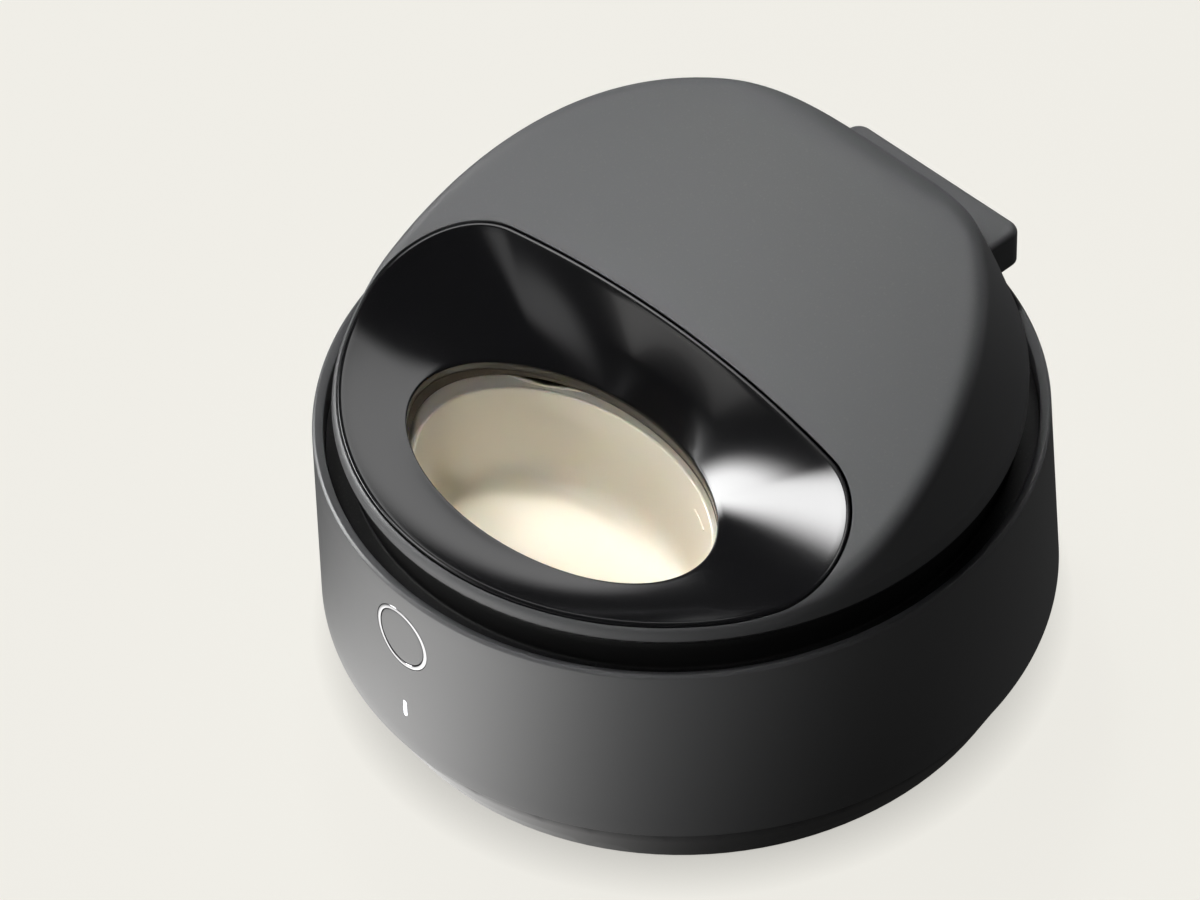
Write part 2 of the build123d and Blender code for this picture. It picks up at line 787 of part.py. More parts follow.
# Lid plate over the trays, with a rim, a brim that rests over the neck and a hole for the gears
plate_top_z = lid_plate_z + lid_plate_t
brim_z = neck_top_z + lid_lift_gap
gear_opening_r = shutter_gear_module * (shutter_gear_teeth / 2 + tooth_tip) + lip_gap
pinion_opening_r = shutter_gear_module * (shutter_pinion_teeth / 2 + tooth_tip) + lip_gap
shutter_pinion_y = shutter_gear_module * (shutter_gear_teeth + shutter_pinion_teeth) / 2
ear_outer_x = hinge_ear_x + hinge_ear_w / 2
ear_inner_x = hinge_ear_x - hinge_ear_w / 2
with BuildPart() as lid_plate:
    with BuildSketch(Plane.XZ):
        with BuildLine():
            Polyline(
                (0, lid_plate_z),
                (lid_plate_r, lid_plate_z),
                (lid_plate_r, brim_z),
                (lid_brim_r, brim_z),
                (lid_brim_r, brim_z + lid_brim_t),
                (lid_plate_r - lid_plate_wall, brim_z + lid_brim_t),
                (lid_plate_r - lid_plate_wall, plate_top_z),
                (0, plate_top_z),
                close=True,
            )
        make_face()
    revolve(axis=Axis.Z)
    with BuildSketch(Plane.XY.offset(lid_plate_z)):
        with Locations((0, opening_y)):
            Ellipse(opening_a + lip_wall + fit_gap, opening_b + lip_wall + fit_gap)
        Circle(gear_opening_r)
        with Locations((0, shutter_pinion_y)):
            Circle(pinion_opening_r)
    extrude(amount=lid_plate_t, mode=Mode.SUBTRACT)
    with BuildSketch(Plane.XY.offset(brim_z)):
        with Locations((0, hinge_y)):
            Rectangle(2 * (ear_outer_x + hinge_side_gap), 2 * (hinge_y - neck_r))
    extrude(amount=lid_brim_t, mode=Mode.SUBTRACT)
save(lid_plate, "lid_plate")

# Soft seal under the lid plate
with BuildPart() as lid_gasket:
    with BuildSketch(Plane.XY.offset(well_flange_z + gasket_gap)):
        Circle(gasket_r + gasket_w)
        Circle(gasket_r, mode=Mode.SUBTRACT)
    extrude(amount=lid_plate_z - well_flange_z - gasket_gap)
    chamfer(lid_gasket.edges().group_by(Axis.Z)[0], length=1)
save(lid_gasket, "lid_gasket")

# Dished scoop that leads the pet's muzzle to the opening
with BuildPart() as scoop_insert:
    with BuildSketch(Plane.XY.offset(opening_back_z - scoop_wall - 1)):
        with BuildLine():
            scoop_outline(0)
        make_face()
    extrude(amount=lid_top_z - opening_back_z)
    add(lid_solid, mode=Mode.INTERSECT)
    add(funnel(scoop_wall), mode=Mode.INTERSECT)
    add(funnel(0), mode=Mode.SUBTRACT)
    with BuildSketch(Plane.XY.offset(opening_back_z - scoop_wall - 1)):
        with Locations((0, opening_y)):
            Ellipse(opening_a, opening_b)
    extrude(amount=opening_front_z, mode=Mode.SUBTRACT)
save(scoop_insert, "scoop_insert")

# Lip that closes the gap between the scoop and the shutter
lip_low_z = shutter_z + shutter_t + lip_gap
lip_top = opening_mid_z - scoop_wall - seat_gap
with BuildPart() as opening_lip:
    with BuildSketch(Plane.XY.offset(lip_low_z)):
        with Locations((0, opening_y)):
            Ellipse(opening_a + lip_wall, opening_b + lip_wall)
            Ellipse(opening_a, opening_b, mode=Mode.SUBTRACT)
    extrude(amount=opening_front_z - lip_low_z)
    split(bisect_by=Plane((0, opening_y, lip_top), x_dir=(1, 0, 0), z_dir=(0, opening_slope, 1)),
          keep=Keep.BOTTOM)
save(opening_lip, "opening_lip")

# Rotary shutter, stored at the back, with its gear and pin
gear_top_z = lid_plate_z + shutter_gear_t
bridge_z = plate_top_z + seat_gap
bridge_top_z = bridge_z + bridge_t
swept = radians(90 - shutter_half_angle)
with BuildPart() as shutter:
    with BuildSketch(Plane.XY.offset(shutter_z)):
        Circle(shutter_r)
        far = 2 * shutter_r
        Polygon((0, 0), (far * cos(swept), far * sin(swept)), (0, 2 * far),
                (-far * cos(swept), far * sin(swept)), align=None, mode=Mode.INTERSECT)
        Circle(shutter_hub_r)
    extrude(amount=shutter_t)
    with BuildSketch(Plane.XY.offset(shutter_z + shutter_t)):
        involute_gear(shutter_gear_teeth, shutter_gear_module, 0.5, 0)
    extrude(amount=gear_top_z - shutter_z - shutter_t - shutter_gear_gap)
    with BuildSketch(Plane.XY.offset(shutter_z)):
        Circle(shutter_pin_r)
    extrude(amount=bridge_top_z + clip_t + seat_gap + 1 - shutter_z)
save(shutter, "shutter")

# Clip that holds the shutter's pin in the bridge
with BuildPart() as shutter_clip:
    with BuildSketch(Plane.XY.offset(bridge_top_z + seat_gap)):
        Circle(clip_r)
        Circle(shutter_pin_r, mode=Mode.SUBTRACT)
    extrude(amount=clip_t)
save(shutter_clip, "shutter_clip")

# Pinion and geared motor that swing the shutter
shutter_plane = Plane((0, shutter_pinion_y, shutter_z + shutter_t + shutter_gear_gap))
with BuildPart() as shutter_pinion:
    with BuildSketch(shutter_plane):
        involute_gear(shutter_pinion_teeth, shutter_gear_module, 0.5, 90 + 180 / shutter_pinion_teeth)
    extrude(amount=gear_top_z - shutter_gear_gap - shutter_plane.origin.Z)
    with BuildSketch(shutter_plane):
        Circle(shutter_shaft_r)
    extrude(amount=bridge_top_z + motor_bore - 0.3 - shutter_plane.origin.Z)
save(shutter_pinion, "shutter_pinion")

with BuildPart() as shutter_motor:
    with BuildSketch(Plane((0, shutter_pinion_y, bridge_top_z))):
        Circle(shutter_motor_r)
    extrude(amount=shutter_motor_h)
    chamfer(shutter_motor.edges().group_by(Axis.Z)[-1], length=motor_round)
    with BuildSketch(Plane((0, shutter_pinion_y, bridge_top_z))):
        Circle(shutter_shaft_r + shaft_clearance)
    extrude(amount=motor_bore, mode=Mode.SUBTRACT)
save(shutter_motor, "shutter_motor")

# Bridge over the gears that carries the shutter and its motor
with BuildPart() as motor_bridge:
    with BuildSketch(Plane((0, (bridge_front + bridge_back) / 2, bridge_z))):
        RectangleRounded(bridge_w, bridge_back - bridge_front, bridge_corner_r)
    extrude(amount=bridge_t)
    with BuildSketch(Plane.XY.offset(bridge_z)):
        Circle(shutter_pin_r + shaft_clearance)
        with Locations((0, shutter_pinion_y)):
            Circle(shutter_shaft_r + 1)
    extrude(amount=bridge_t, mode=Mode.SUBTRACT)
save(motor_bridge, "motor_bridge")

# Hinge ears that stand in the groove at the back
ear_front_y = neck_r + seat_gap
ear_back_y = hinge_y - 1.0
with BuildPart() as hinge_bracket:
    with BuildSketch(Plane.YZ.offset(-ear_outer_x)):
        with BuildLine():
            Polyline(
                (ear_front_y, groove_floor_z + seat_gap),
                (ear_back_y, groove_floor_z + seat_gap),
                (ear_back_y, hinge_z),
                (hinge_y - hinge_boss_r + 0.7, hinge_z + 0.5),
                (ear_front_y, hinge_z - 1.5 * hinge_boss_r),
                close=True,
            )
        make_face()
        with Locations((hinge_y, hinge_z)):
            Circle(hinge_boss_r)
            Circle(hinge_pin_r + hinge_pin_clearance, mode=Mode.SUBTRACT)
    extrude(amount=2 * ear_outer_x)
    with BuildSketch(Plane.XY.offset(groove_floor_z + seat_gap + hinge_foot_t)):
        with Locations((0, hinge_y)):
            Rectangle(2 * ear_inner_x, 4 * hinge_boss_r)
    extrude(amount=hinge_z, mode=Mode.SUBTRACT)
save(hinge_bracket, "hinge_bracket")

with BuildPart() as hinge_pin:
    with BuildSketch(Plane.YZ.offset(-ear_outer_x)):
        with Locations((hinge_y, hinge_z)):
            Circle(hinge_pin_r)
    extrude(amount=2 * ear_outer_x)
    chamfer(hinge_pin.edges().filter_by(GeomType.CIRCLE), length=0.5)
save(hinge_pin, "hinge_pin")

# Cover over the hinge, with the lid's knuckle between the ears
knuckle_half = ear_inner_x - hinge_side_gap
with BuildPart() as hinge_cover:
    with BuildSketch(Plane((0, (hinge_cover_front + hinge_cover_back) / 2, hinge_z))):
        Rectangle(2 * hinge_cover_half, hinge_cover_back - hinge_cover_front)
    extrude(amount=hinge_cover_top - hinge_z)
    fillet(hinge_cover.edges().filter_by(Axis.Z).group_by(Axis.Y)[-1], radius=2 * hinge_cover_round)
    fillet(hinge_cover.faces().sort_by(Axis.Z)[-1].edges().sort_by(Axis.Y)[1:], radius=hinge_cover_round)
    with BuildSketch(Plane.YZ.offset(-ear_outer_x - hinge_side_gap)):
        with Locations((hinge_y, hinge_z)):
            Circle(hinge_boss_r + 2 * seat_gap)
    extrude(amount=2 * (ear_outer_x + hinge_side_gap), mode=Mode.SUBTRACT)
    with BuildSketch(Plane.YZ.offset(-knuckle_half)):
        with Locations((hinge_y, hinge_z)):
            Circle(hinge_boss_r + 2 * seat_gap)
    extrude(amount=2 * knuckle_half)
    with BuildSketch(Plane.YZ.offset(-ear_outer_x)):
        with Locations((hinge_y, hinge_z)):
            Circle(hinge_pin_r + hinge_pin_clearance)
    extrude(amount=2 * ear_outer_x, mode=Mode.SUBTRACT)
save(hinge_cover, "hinge_cover")


def wall_solid(inset):
    """Everything inside the base's outer wall, moved in by an inset."""
    with BuildPart() as inside:
        with BuildSketch(Plane.XZ):
            with BuildLine():
                Polyline(
                    (0, seam_z),
                    (wall_radius(seam_z, inset), seam_z),
                    (wall_radius(body_top_z, inset), body_top_z),
                    (0, body_top_z),
                    close=True,
                )
            make_face()
        revolve(axis=Axis.Z)
    return inside.part


# Front button, its bright ring and the light pipe, all following the curved wall
button_face_y = wall_radius(button_z)
ring_back_y = wall_radius(button_z) - ring_depth
button_r = button_ring_r - button_ring_w - button_gap
with BuildPart() as button_ring:
    with BuildSketch(Plane.XZ.offset(ring_back_y)):
        with Locations((0, button_z)):
            Circle(button_ring_r)
            Circle(button_ring_r - button_ring_w, mode=Mode.SUBTRACT)
    extrude(amount=ring_depth + 5)
    add(wall_solid(-button_proud), mode=Mode.INTERSECT)
save(button_ring, "button_ring")

tab_y = ring_back_y - seat_gap
board_front_y = body_wall + neck_r - board_inset
switch_y = board_front_y + switch_h
stem_y = switch_y + plunger_h + button_travel + press_left
with BuildPart() as front_button:
    with BuildSketch(Plane.XZ.offset(tab_y)):
        with Locations((0, button_z)):
            Circle(button_r)
    extrude(amount=ring_depth + 5)
    add(wall_solid(0), mode=Mode.INTERSECT)
    with BuildSketch(Plane.XZ.offset(tab_y)):
        with Locations((0, button_z)):
            Circle(button_r - button_skin)
    extrude(amount=button_face_y - button_cap_t - tab_y, mode=Mode.SUBTRACT)
    with BuildSketch(Plane.XZ.offset(tab_y)):
        with Locations((0, button_z)):
            Circle(button_ring_r - 0.5)
            Rectangle(2 * button_ring_r, button_tab_w, mode=Mode.INTERSECT)
            Circle(button_r - button_skin, mode=Mode.SUBTRACT)
    extrude(amount=-button_flange_t)
    with BuildSketch(Plane.XZ.offset(tab_y)):
        with Locations((0, button_z)):
            Circle(button_r)
            Circle(button_r - button_skin, mode=Mode.SUBTRACT)
            Rectangle(2 * button_ring_r, button_tab_w, mode=Mode.INTERSECT)
    extrude(amount=-button_flange_t)
    with BuildSketch(Plane.XZ.offset(stem_y)):
        with Locations((0, button_z)):
            Circle(button_stem_r)
    extrude(amount=button_face_y - 1 - stem_y)
save(front_button, "front_button")

with BuildPart() as light_pipe:
    with BuildSketch(Plane.XZ.offset(board_front_y + seat_gap)):
        with Locations((0, light_z)):
            SlotCenterToCenter(light_h - light_w, light_w, rotation=90)
    extrude(amount=seam_r - board_front_y)
    add(wall_solid(0), mode=Mode.INTERSECT)
save(light_pipe, "light_pipe")

# Control board behind the button, and the switch on it
board_high_z = groove_under_z - seat_gap
with BuildPart() as control_board:
    with BuildSketch(Plane.XZ.offset(board_front_y - board_t)):
        with Locations((0, (board_low_z + board_high_z) / 2)):
            Rectangle(board_w, board_high_z - board_low_z)
    extrude(amount=board_t)
    fillet(control_board.edges().filter_by(Axis.Y), radius=board_corner_r)
save(control_board, "control_board")

with BuildPart() as button_switch:
    with BuildSketch(Plane.XZ.offset(board_front_y)):
        with Locations((0, button_z)):
            Rectangle(switch_size, switch_size)
    extrude(amount=switch_h)
    with BuildSketch(Plane.XZ.offset(switch_y)):
        with Locations((0, button_z)):
            Circle(plunger_r)
    extrude(amount=plunger_h)
save(button_switch, "button_switch")

# Slotted outlet for the warm air, following the wall at the back
vent_mid_z = (vent_low_z + vent_high_z) / 2
vent_pitch = (vent_high_z - vent_low_z - 2 * vent_rim + 2) / vent_slots
with BuildPart() as rear_grille:
    with BuildSketch(Plane.XZ.offset(-neck_r)):
        with Locations((0, vent_mid_z)):
            Rectangle(vent_w - 2 * fit_gap, vent_high_z - vent_low_z - 2 * fit_gap)
    extrude(amount=-(seam_r - neck_r))
    add(wall_solid(0), mode=Mode.INTERSECT)
    add(wall_solid(vent_plate_t), mode=Mode.SUBTRACT)
    with BuildSketch(Plane.XZ.offset(-neck_r)):
        with Locations((0, vent_mid_z)):
            with GridLocations(vent_w / 2 - 1, vent_pitch, 2, vent_slots):
                SlotOverall(vent_w / 2 - 2 * vent_rim, vent_slot_h)
    extrude(amount=-(seam_r - neck_r), mode=Mode.SUBTRACT)
save(rear_grille, "rear_grille")

# Socket for the power lead
inlet_face = wall_radius(inlet_z) - seat_gap
with BuildPart() as dc_inlet:
    with BuildSketch(inlet_plane.offset(inlet_face - inlet_depth)):
        Rectangle(inlet_w, inlet_w)
    extrude(amount=inlet_depth)
    with BuildSketch(inlet_plane.offset(inlet_face - 0.7 * inlet_depth)):
        Circle(inlet_bore_r)
        Circle(inlet_pin_r, mode=Mode.SUBTRACT)
    extrude(amount=inlet_depth, mode=Mode.SUBTRACT)
save(dc_inlet, "dc_inlet")
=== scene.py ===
# %% [markdown]
# An automatic wet food feeder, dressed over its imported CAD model.
# The frame brings in every solid of the CAD model in metres, +Z up, the front with its button towards -Y.
# Each step below says what a piece is on the real feeder, how it could be made in Blender, and why it is
# made the way it is. Pieces that show their curves are worked out again as smooth surfaces with numpy,
# and pieces that are already right keep their CAD mesh and only get a finish.

# %% Load the frame
import json
from math import atan2, cos, pi, radians, sin, sqrt
import bmesh
import bpy
import numpy as np
from mathutils import Matrix


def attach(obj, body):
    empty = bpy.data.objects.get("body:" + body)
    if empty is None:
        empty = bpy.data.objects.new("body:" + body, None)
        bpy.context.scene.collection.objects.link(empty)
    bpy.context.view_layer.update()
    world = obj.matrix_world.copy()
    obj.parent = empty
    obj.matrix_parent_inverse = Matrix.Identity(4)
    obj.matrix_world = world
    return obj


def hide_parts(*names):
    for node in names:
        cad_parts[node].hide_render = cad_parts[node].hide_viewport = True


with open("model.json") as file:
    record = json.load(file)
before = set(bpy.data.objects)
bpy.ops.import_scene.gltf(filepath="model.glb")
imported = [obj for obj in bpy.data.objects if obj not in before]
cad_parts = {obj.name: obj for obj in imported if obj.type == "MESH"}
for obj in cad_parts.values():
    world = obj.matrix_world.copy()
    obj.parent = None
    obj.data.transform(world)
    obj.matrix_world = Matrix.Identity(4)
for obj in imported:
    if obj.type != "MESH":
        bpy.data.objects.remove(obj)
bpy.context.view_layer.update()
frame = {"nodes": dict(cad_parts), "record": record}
MM = 0.001

# %% [markdown]
# The camera comes first, because every later choice is judged through it.
# The photograph was taken with a long lens from the front right, at about 45 degrees above the table, and
# its picture is turned by a few degrees. Its place was worked out from the circles of the body and the lid:
# four of them at known heights fix the angle, the distance and the lens. A long lens keeps the ellipses calm.
# Two angles say where the camera looks from and a third rolls the picture, so no lens shift is needed.

# %% Camera at the photograph's viewing angle
AZIMUTH, ELEVATION, ROLL = radians(51.18), radians(45.539), radians(-4.511)
CAMERA_PLACE, LENS_MM, FILM_MM = (0.89160, -0.76246, 1.29122), 118.3, 36.0
level_right = np.array([cos(AZIMUTH), sin(AZIMUTH), 0.0])
camera_back = np.array([sin(AZIMUTH) * cos(ELEVATION), -cos(AZIMUTH) * cos(ELEVATION), sin(ELEVATION)])
camera_right = level_right * cos(ROLL) + np.cross(camera_back, level_right) * sin(ROLL)


def stand(thing, right, back, place):
    """Places a camera or a lamp: the columns of its matrix are its right, up and back ways and its place."""
    axes = np.eye(4)
    axes[:3] = np.column_stack([right, np.cross(back, right), back, place])
    thing.matrix_world = Matrix(axes.tolist())


camera_data = bpy.data.cameras.new("photo_camera")
camera_data.lens = LENS_MM
camera_data.sensor_width = FILM_MM
camera_data.clip_end = 30.0
camera = bpy.data.objects.new("photo_camera", camera_data)
bpy.context.scene.collection.objects.link(camera)
stand(camera, camera_right, camera_back, CAMERA_PLACE)
bpy.context.scene.camera = camera
print("camera at", CAMERA_PLACE, "lens", LENS_MM, "mm")

# %% [markdown]
# Every new piece is a grid of points: one parameter runs around the feeder and the other along a profile.
# Blender could lathe a curve with its Screw modifier, but a grid worked out in numpy can follow a tilted
# opening or a domed lid just as easily as a plain circle, so one pair of helpers serves all pieces.
# Real moulded edges are never sharp, so a profile's corners are rounded before the grid is made. The small
# rounds catch the light as thin bright lines, and that is most of what tells the eye that this is plastic.

# %% Helpers for rounded profiles and grids
AROUND = 360
ROUND_STEPS = 5


def rounded_path(corners, radii, closed):
    """Rows of points along a path with rounded corners.

    At a corner P the path leaves one side at A and joins the next at B, each one radius from P, and runs
    between them on the curve (1-s)(1-s)A + 2s(1-s)P + ssB. A radius of 0 keeps the corner as one point.
    """
    corners = [np.asarray(c, float) for c in corners]
    count = len(corners)
    rows = []
    for i, (corner, radius) in enumerate(zip(corners, radii)):
        at_end = not closed and i in (0, count - 1)
        if radius == 0 or at_end:
            rows.append(corner)
            continue
        before, after = corners[i - 1] - corner, corners[(i + 1) % count] - corner
        long_before = np.linalg.norm(before, axis=-1, keepdims=True)
        long_after = np.linalg.norm(after, axis=-1, keepdims=True)
        start = corner + before * np.minimum(0.5, radius / long_before)
        end = corner + after * np.minimum(0.5, radius / long_after)
        for s in np.linspace(0, 1, ROUND_STEPS):
            rows.append((1 - s) ** 2 * start + 2 * s * (1 - s) * corner + s**2 * end)
    return np.stack(rows)


def lathe_rows(profile, closed=True):
    """Rows for a turned shape: a (radius, height, rounding) corner goes to (r cos t, r sin t, height)."""
    path = rounded_path([(r, 0, z) for r, z, _ in profile], [c for _, _, c in profile], closed)
    turns = np.linspace(0, 2 * pi, AROUND, endpoint=False)
    x = path[:, None, 0] * np.cos(turns)
    y = path[:, None, 0] * np.sin(turns)
    return np.stack([x, y, np.broadcast_to(path[:, None, 2], x.shape)], axis=-1)


def smooth(mesh, angle=35):
    """Smooth shading that breaks only at edges sharper than an angle."""
    mesh.shade_smooth()
    mesh.set_sharp_from_angle(angle=radians(angle))


def piece_from_rows(name, rows, closed=True, outward=True):
    """A piece from rows[v, u] in millimetres: u closes on itself, v closes or ends in flat caps."""
    long_way, around = rows.shape[:2]
    index = np.arange(long_way * around).reshape(long_way, around)
    nexts = np.roll(index, -1, axis=1)
    low, low_next = (index, nexts) if closed else (index[:-1], nexts[:-1])
    high = np.roll(index, -1, axis=0) if closed else index[1:]
    high_next = np.roll(nexts, -1, axis=0) if closed else nexts[1:]
    faces = np.stack([low, low_next, high_next, high], axis=-1).reshape(-1, 4).tolist()
    if not closed and outward:
        faces += [index[0].tolist(), index[-1][::-1].tolist()]
    mesh = bpy.data.meshes.new(name)
    mesh.from_pydata((rows.reshape(-1, 3) * MM).tolist(), [], faces)
    if outward:
        shell = bmesh.new()
        shell.from_mesh(mesh)
        bmesh.ops.recalc_face_normals(shell, faces=shell.faces)
        shell.to_mesh(mesh)
        shell.free()
    smooth(mesh)
    piece = bpy.data.objects.new(name, mesh)
    bpy.context.scene.collection.objects.link(piece)
    print(name, len(mesh.polygons), "faces")
    return piece


# %% [markdown]
# Finishes. The feeder is mostly moulded plastic in three dark tones: a satin body, a finely textured matt
# lid and a near-mirror black scoop. What makes plastic look real close up is small: a grain of a fraction
# of a millimetre in the bump and the roughness, a faint cloudiness in the tone, a little dust on what
# faces up. These effects are wanted on every piece, so they live in one shader node group with named
# inputs, and each material sets its own values. The shader itself stays in the material.

# %% Shared shader group for grain, cloudiness and dust
def new_group(name, inputs, outputs):
    """A shader node group with float or colour sockets."""
    group = bpy.data.node_groups.new(name, "ShaderNodeTree")
    for label, kind, value in inputs:
        made = group.interface.new_socket(name=label, in_out="INPUT", socket_type=kind)
        made.default_value = value
    for label, kind in outputs:
        group.interface.new_socket(name=label, in_out="OUTPUT", socket_type=kind)
    return group


CLOUD_SCALE, SPECK_SCALE = 14.0, 900.0
SPECK_FROM, SPECK_CONTRAST, DUST_FACING = 0.62, 9.0, 4.0


def moulded_surface_group():
    """Colour, roughness and height of a moulded surface, from noise on Object coordinates.

    The tone is 1 + cloudiness * (cloud - 0.5), and the dust is the speckle above a threshold times the
    upward part of the normal to the fourth power, so it only lies on what faces up.
    """
    group = new_group(
        "moulded_surface",
        [
            ("Colour", "NodeSocketColor", (0.05, 0.05, 0.05, 1)),
            ("Dust colour", "NodeSocketColor", (0.45, 0.43, 0.40, 1)),
            ("Grain size", "NodeSocketFloat", 2500.0),
            ("Roughness", "NodeSocketFloat", 0.4),
            ("Roughness spread", "NodeSocketFloat", 0.06),
            ("Cloudiness", "NodeSocketFloat", 0.08),
            ("Dust", "NodeSocketFloat", 0.02),
        ],
        [("Colour", "NodeSocketColor"), ("Roughness", "NodeSocketFloat"), ("Height", "NodeSocketFloat")],
    )
    nodes, links = group.nodes, group.links
    given = nodes.new("NodeGroupInput")
    result = nodes.new("NodeGroupOutput")
    place = nodes.new("ShaderNodeTexCoord")

    grain = nodes.new("ShaderNodeTexNoise")
    grain.inputs["Detail"].default_value = 2.0
    links.new(place.outputs["Object"], grain.inputs["Vector"])
    links.new(given.outputs["Grain size"], grain.inputs["Scale"])

    cloud = nodes.new("ShaderNodeTexNoise")
    cloud.inputs["Scale"].default_value = CLOUD_SCALE
    cloud.inputs["Detail"].default_value = 4.0
    links.new(place.outputs["Object"], cloud.inputs["Vector"])

    speck = nodes.new("ShaderNodeTexNoise")
    speck.inputs["Scale"].default_value = SPECK_SCALE
    speck.inputs["Detail"].default_value = 1.0
    links.new(place.outputs["Object"], speck.inputs["Vector"])

    def math(kind, first, second, clamp=False):
        step = nodes.new("ShaderNodeMath")
        step.operation = kind
        step.use_clamp = clamp
        for socket, value in zip(step.inputs, (first, second)):
            if isinstance(value, (int, float)):
                socket.default_value = value
            else:
                links.new(value, socket)
        return step.outputs[0]

    centred = math("SUBTRACT", cloud.outputs["Fac"], 0.5)
    tone = math("ADD", math("MULTIPLY", centred, given.outputs["Cloudiness"]), 1.0)
    shade = nodes.new("ShaderNodeVectorMath")
    shade.operation = "SCALE"
    links.new(given.outputs["Colour"], shade.inputs[0])
    links.new(tone, shade.inputs["Scale"])

    facing = nodes.new("ShaderNodeNewGeometry")
    upward = nodes.new("ShaderNodeSeparateXYZ")
    links.new(facing.outputs["Normal"], upward.inputs[0])
    settled = math("POWER", math("MAXIMUM", upward.outputs["Z"], 0.0), DUST_FACING)
    spots = math("MULTIPLY", math("SUBTRACT", speck.outputs["Fac"], SPECK_FROM), SPECK_CONTRAST, clamp=True)
    dust = math("MULTIPLY", math("MULTIPLY", spots, settled), given.outputs["Dust"], clamp=True)
    dusty = nodes.new("ShaderNodeMix")
    dusty.data_type = "RGBA"
    links.new(dust, dusty.inputs["Factor"])
    links.new(shade.outputs[0], dusty.inputs["A"])
    links.new(given.outputs["Dust colour"], dusty.inputs["B"])
    links.new(dusty.outputs["Result"], result.inputs["Colour"])

    uneven = math("ADD", centred, math("SUBTRACT", grain.outputs["Fac"], 0.5))
    spread = math("MULTIPLY", uneven, given.outputs["Roughness spread"])
    rough = math("ADD", math("ADD", given.outputs["Roughness"], spread), dust, clamp=True)
    links.new(rough, result.inputs["Roughness"])
    links.new(grain.outputs["Fac"], result.inputs["Height"])
    return group


moulded_surface = moulded_surface_group()
print("group", moulded_surface.name, [s.name for s in moulded_surface.interface.items_tree])

# %% [markdown]
# One function turns that group into a material. The colour, roughness and bump come from the group, and
# the plain constants, such as metallic or coat weight, are set on the Principled BSDF's own sockets.
# Colours are written as linear values, the way the shader reads them: a dark plastic is a few hundredths.

# %% A material from the shared group
def finish(name, colour, rough, grain=2500.0, bump=0.02, cloud=0.1, dust=0.02, spread=0.06, **shader):
    """A material on the moulded surface group; bump is in millimetres, shader sets Principled sockets."""
    material = bpy.data.materials.new(name)
    material.use_nodes = True
    nodes, links = material.node_tree.nodes, material.node_tree.links
    bsdf = nodes["Principled BSDF"]
    skin = nodes.new("ShaderNodeGroup")
    skin.node_tree = moulded_surface
    skin.inputs["Colour"].default_value = (*colour, 1)
    skin.inputs["Grain size"].default_value = grain
    skin.inputs["Roughness"].default_value = rough
    skin.inputs["Roughness spread"].default_value = spread
    skin.inputs["Cloudiness"].default_value = cloud
    skin.inputs["Dust"].default_value = dust
    raised = nodes.new("ShaderNodeBump")
    raised.inputs["Distance"].default_value = bump * MM
    raised.inputs["Strength"].default_value = 1.0
    links.new(skin.outputs["Height"], raised.inputs["Height"])
    links.new(skin.outputs["Colour"], bsdf.inputs["Base Color"])
    links.new(skin.outputs["Roughness"], bsdf.inputs["Roughness"])
    links.new(raised.outputs["Normal"], bsdf.inputs["Normal"])
    for label, value in shader.items():
        bsdf.inputs[label.replace("_", " ")].default_value = value
    return material


# %% [markdown]
# These are the feeder's own finishes, the outside first. The satin body is a little smoother than the lid,
# and the scoop is almost black, because all that is seen in it is a reflection. Inside are aluminium for the
# cooling, nylon for the gears, steel for the pins and screws, and white foam round the cold well.

# %% The feeder's finishes
body_satin = finish("body_satin", (0.085, 0.086, 0.088), 0.36, grain=1800, bump=0.006, cloud=0.05, dust=0.02)
skirt_matt = finish("skirt_matt", (0.040, 0.040, 0.041), 0.45, bump=0.012, dust=0.03)
groove_matt = finish("groove_matt", (0.010, 0.010, 0.010), 0.55, bump=0.012, dust=0.04)
lid_matt = finish("lid_matt", (0.075, 0.076, 0.078), 0.48, grain=1500, bump=0.014, cloud=0.05, dust=0.03)
scoop_gloss = finish("scoop_gloss", (0.004, 0.004, 0.0045), 0.16, grain=900, bump=0.0015, spread=0.03,
                     Coat_Weight=0.25, Coat_Roughness=0.08)
lip_rubber = finish("lip_rubber", (0.060, 0.051, 0.040), 0.7, bump=0.02, Specular_IOR_Level=0.2)
tray_ivory = finish("tray_ivory", (0.84, 0.78, 0.65), 0.33, grain=1200, bump=0.004, cloud=0.03, dust=0.0,
                    Subsurface_Weight=0.15, Subsurface_Radius=(0.004, 0.0025, 0.0012))
plate_dark = finish("plate_dark", (0.02, 0.02, 0.021), 0.5, bump=0.015)
shutter_dark = finish("shutter_dark", (0.04, 0.04, 0.042), 0.4, bump=0.01)
gasket_soft = finish("gasket_soft", (0.07, 0.07, 0.07), 0.65, bump=0.03)
foot_rubber = finish("foot_rubber", (0.02, 0.02, 0.02), 0.7, bump=0.03)
foam_white = finish("foam_white", (0.7, 0.7, 0.67), 0.8, grain=700, bump=0.25)
gear_nylon = finish("gear_nylon", (0.66, 0.63, 0.55), 0.4, bump=0.006)
board_green = finish("board_green", (0.01, 0.06, 0.025), 0.35, bump=0.004)
socket_black = finish("socket_black", (0.02, 0.02, 0.02), 0.4, bump=0.006)
tile_ceramic = finish("tile_ceramic", (0.7, 0.69, 0.66), 0.55, bump=0.01)
steel_ground = finish("steel_ground", (0.55, 0.55, 0.56), 0.3, bump=0.004, dust=0.0, Metallic=1.0)
aluminium_plain = finish("aluminium_plain", (0.75, 0.76, 0.77), 0.32, bump=0.006, dust=0.0, Metallic=1.0)
ring_chrome = finish("ring_chrome", (0.44, 0.44, 0.45), 0.13, bump=0.001, spread=0.03, dust=0.0, Metallic=1.0)
light_glow = finish("light_glow", (0.9, 0.93, 1.0), 0.4, bump=0.002, dust=0.0,
                    Emission_Color=(0.93, 0.97, 1.0, 1), Emission_Strength=2.2)
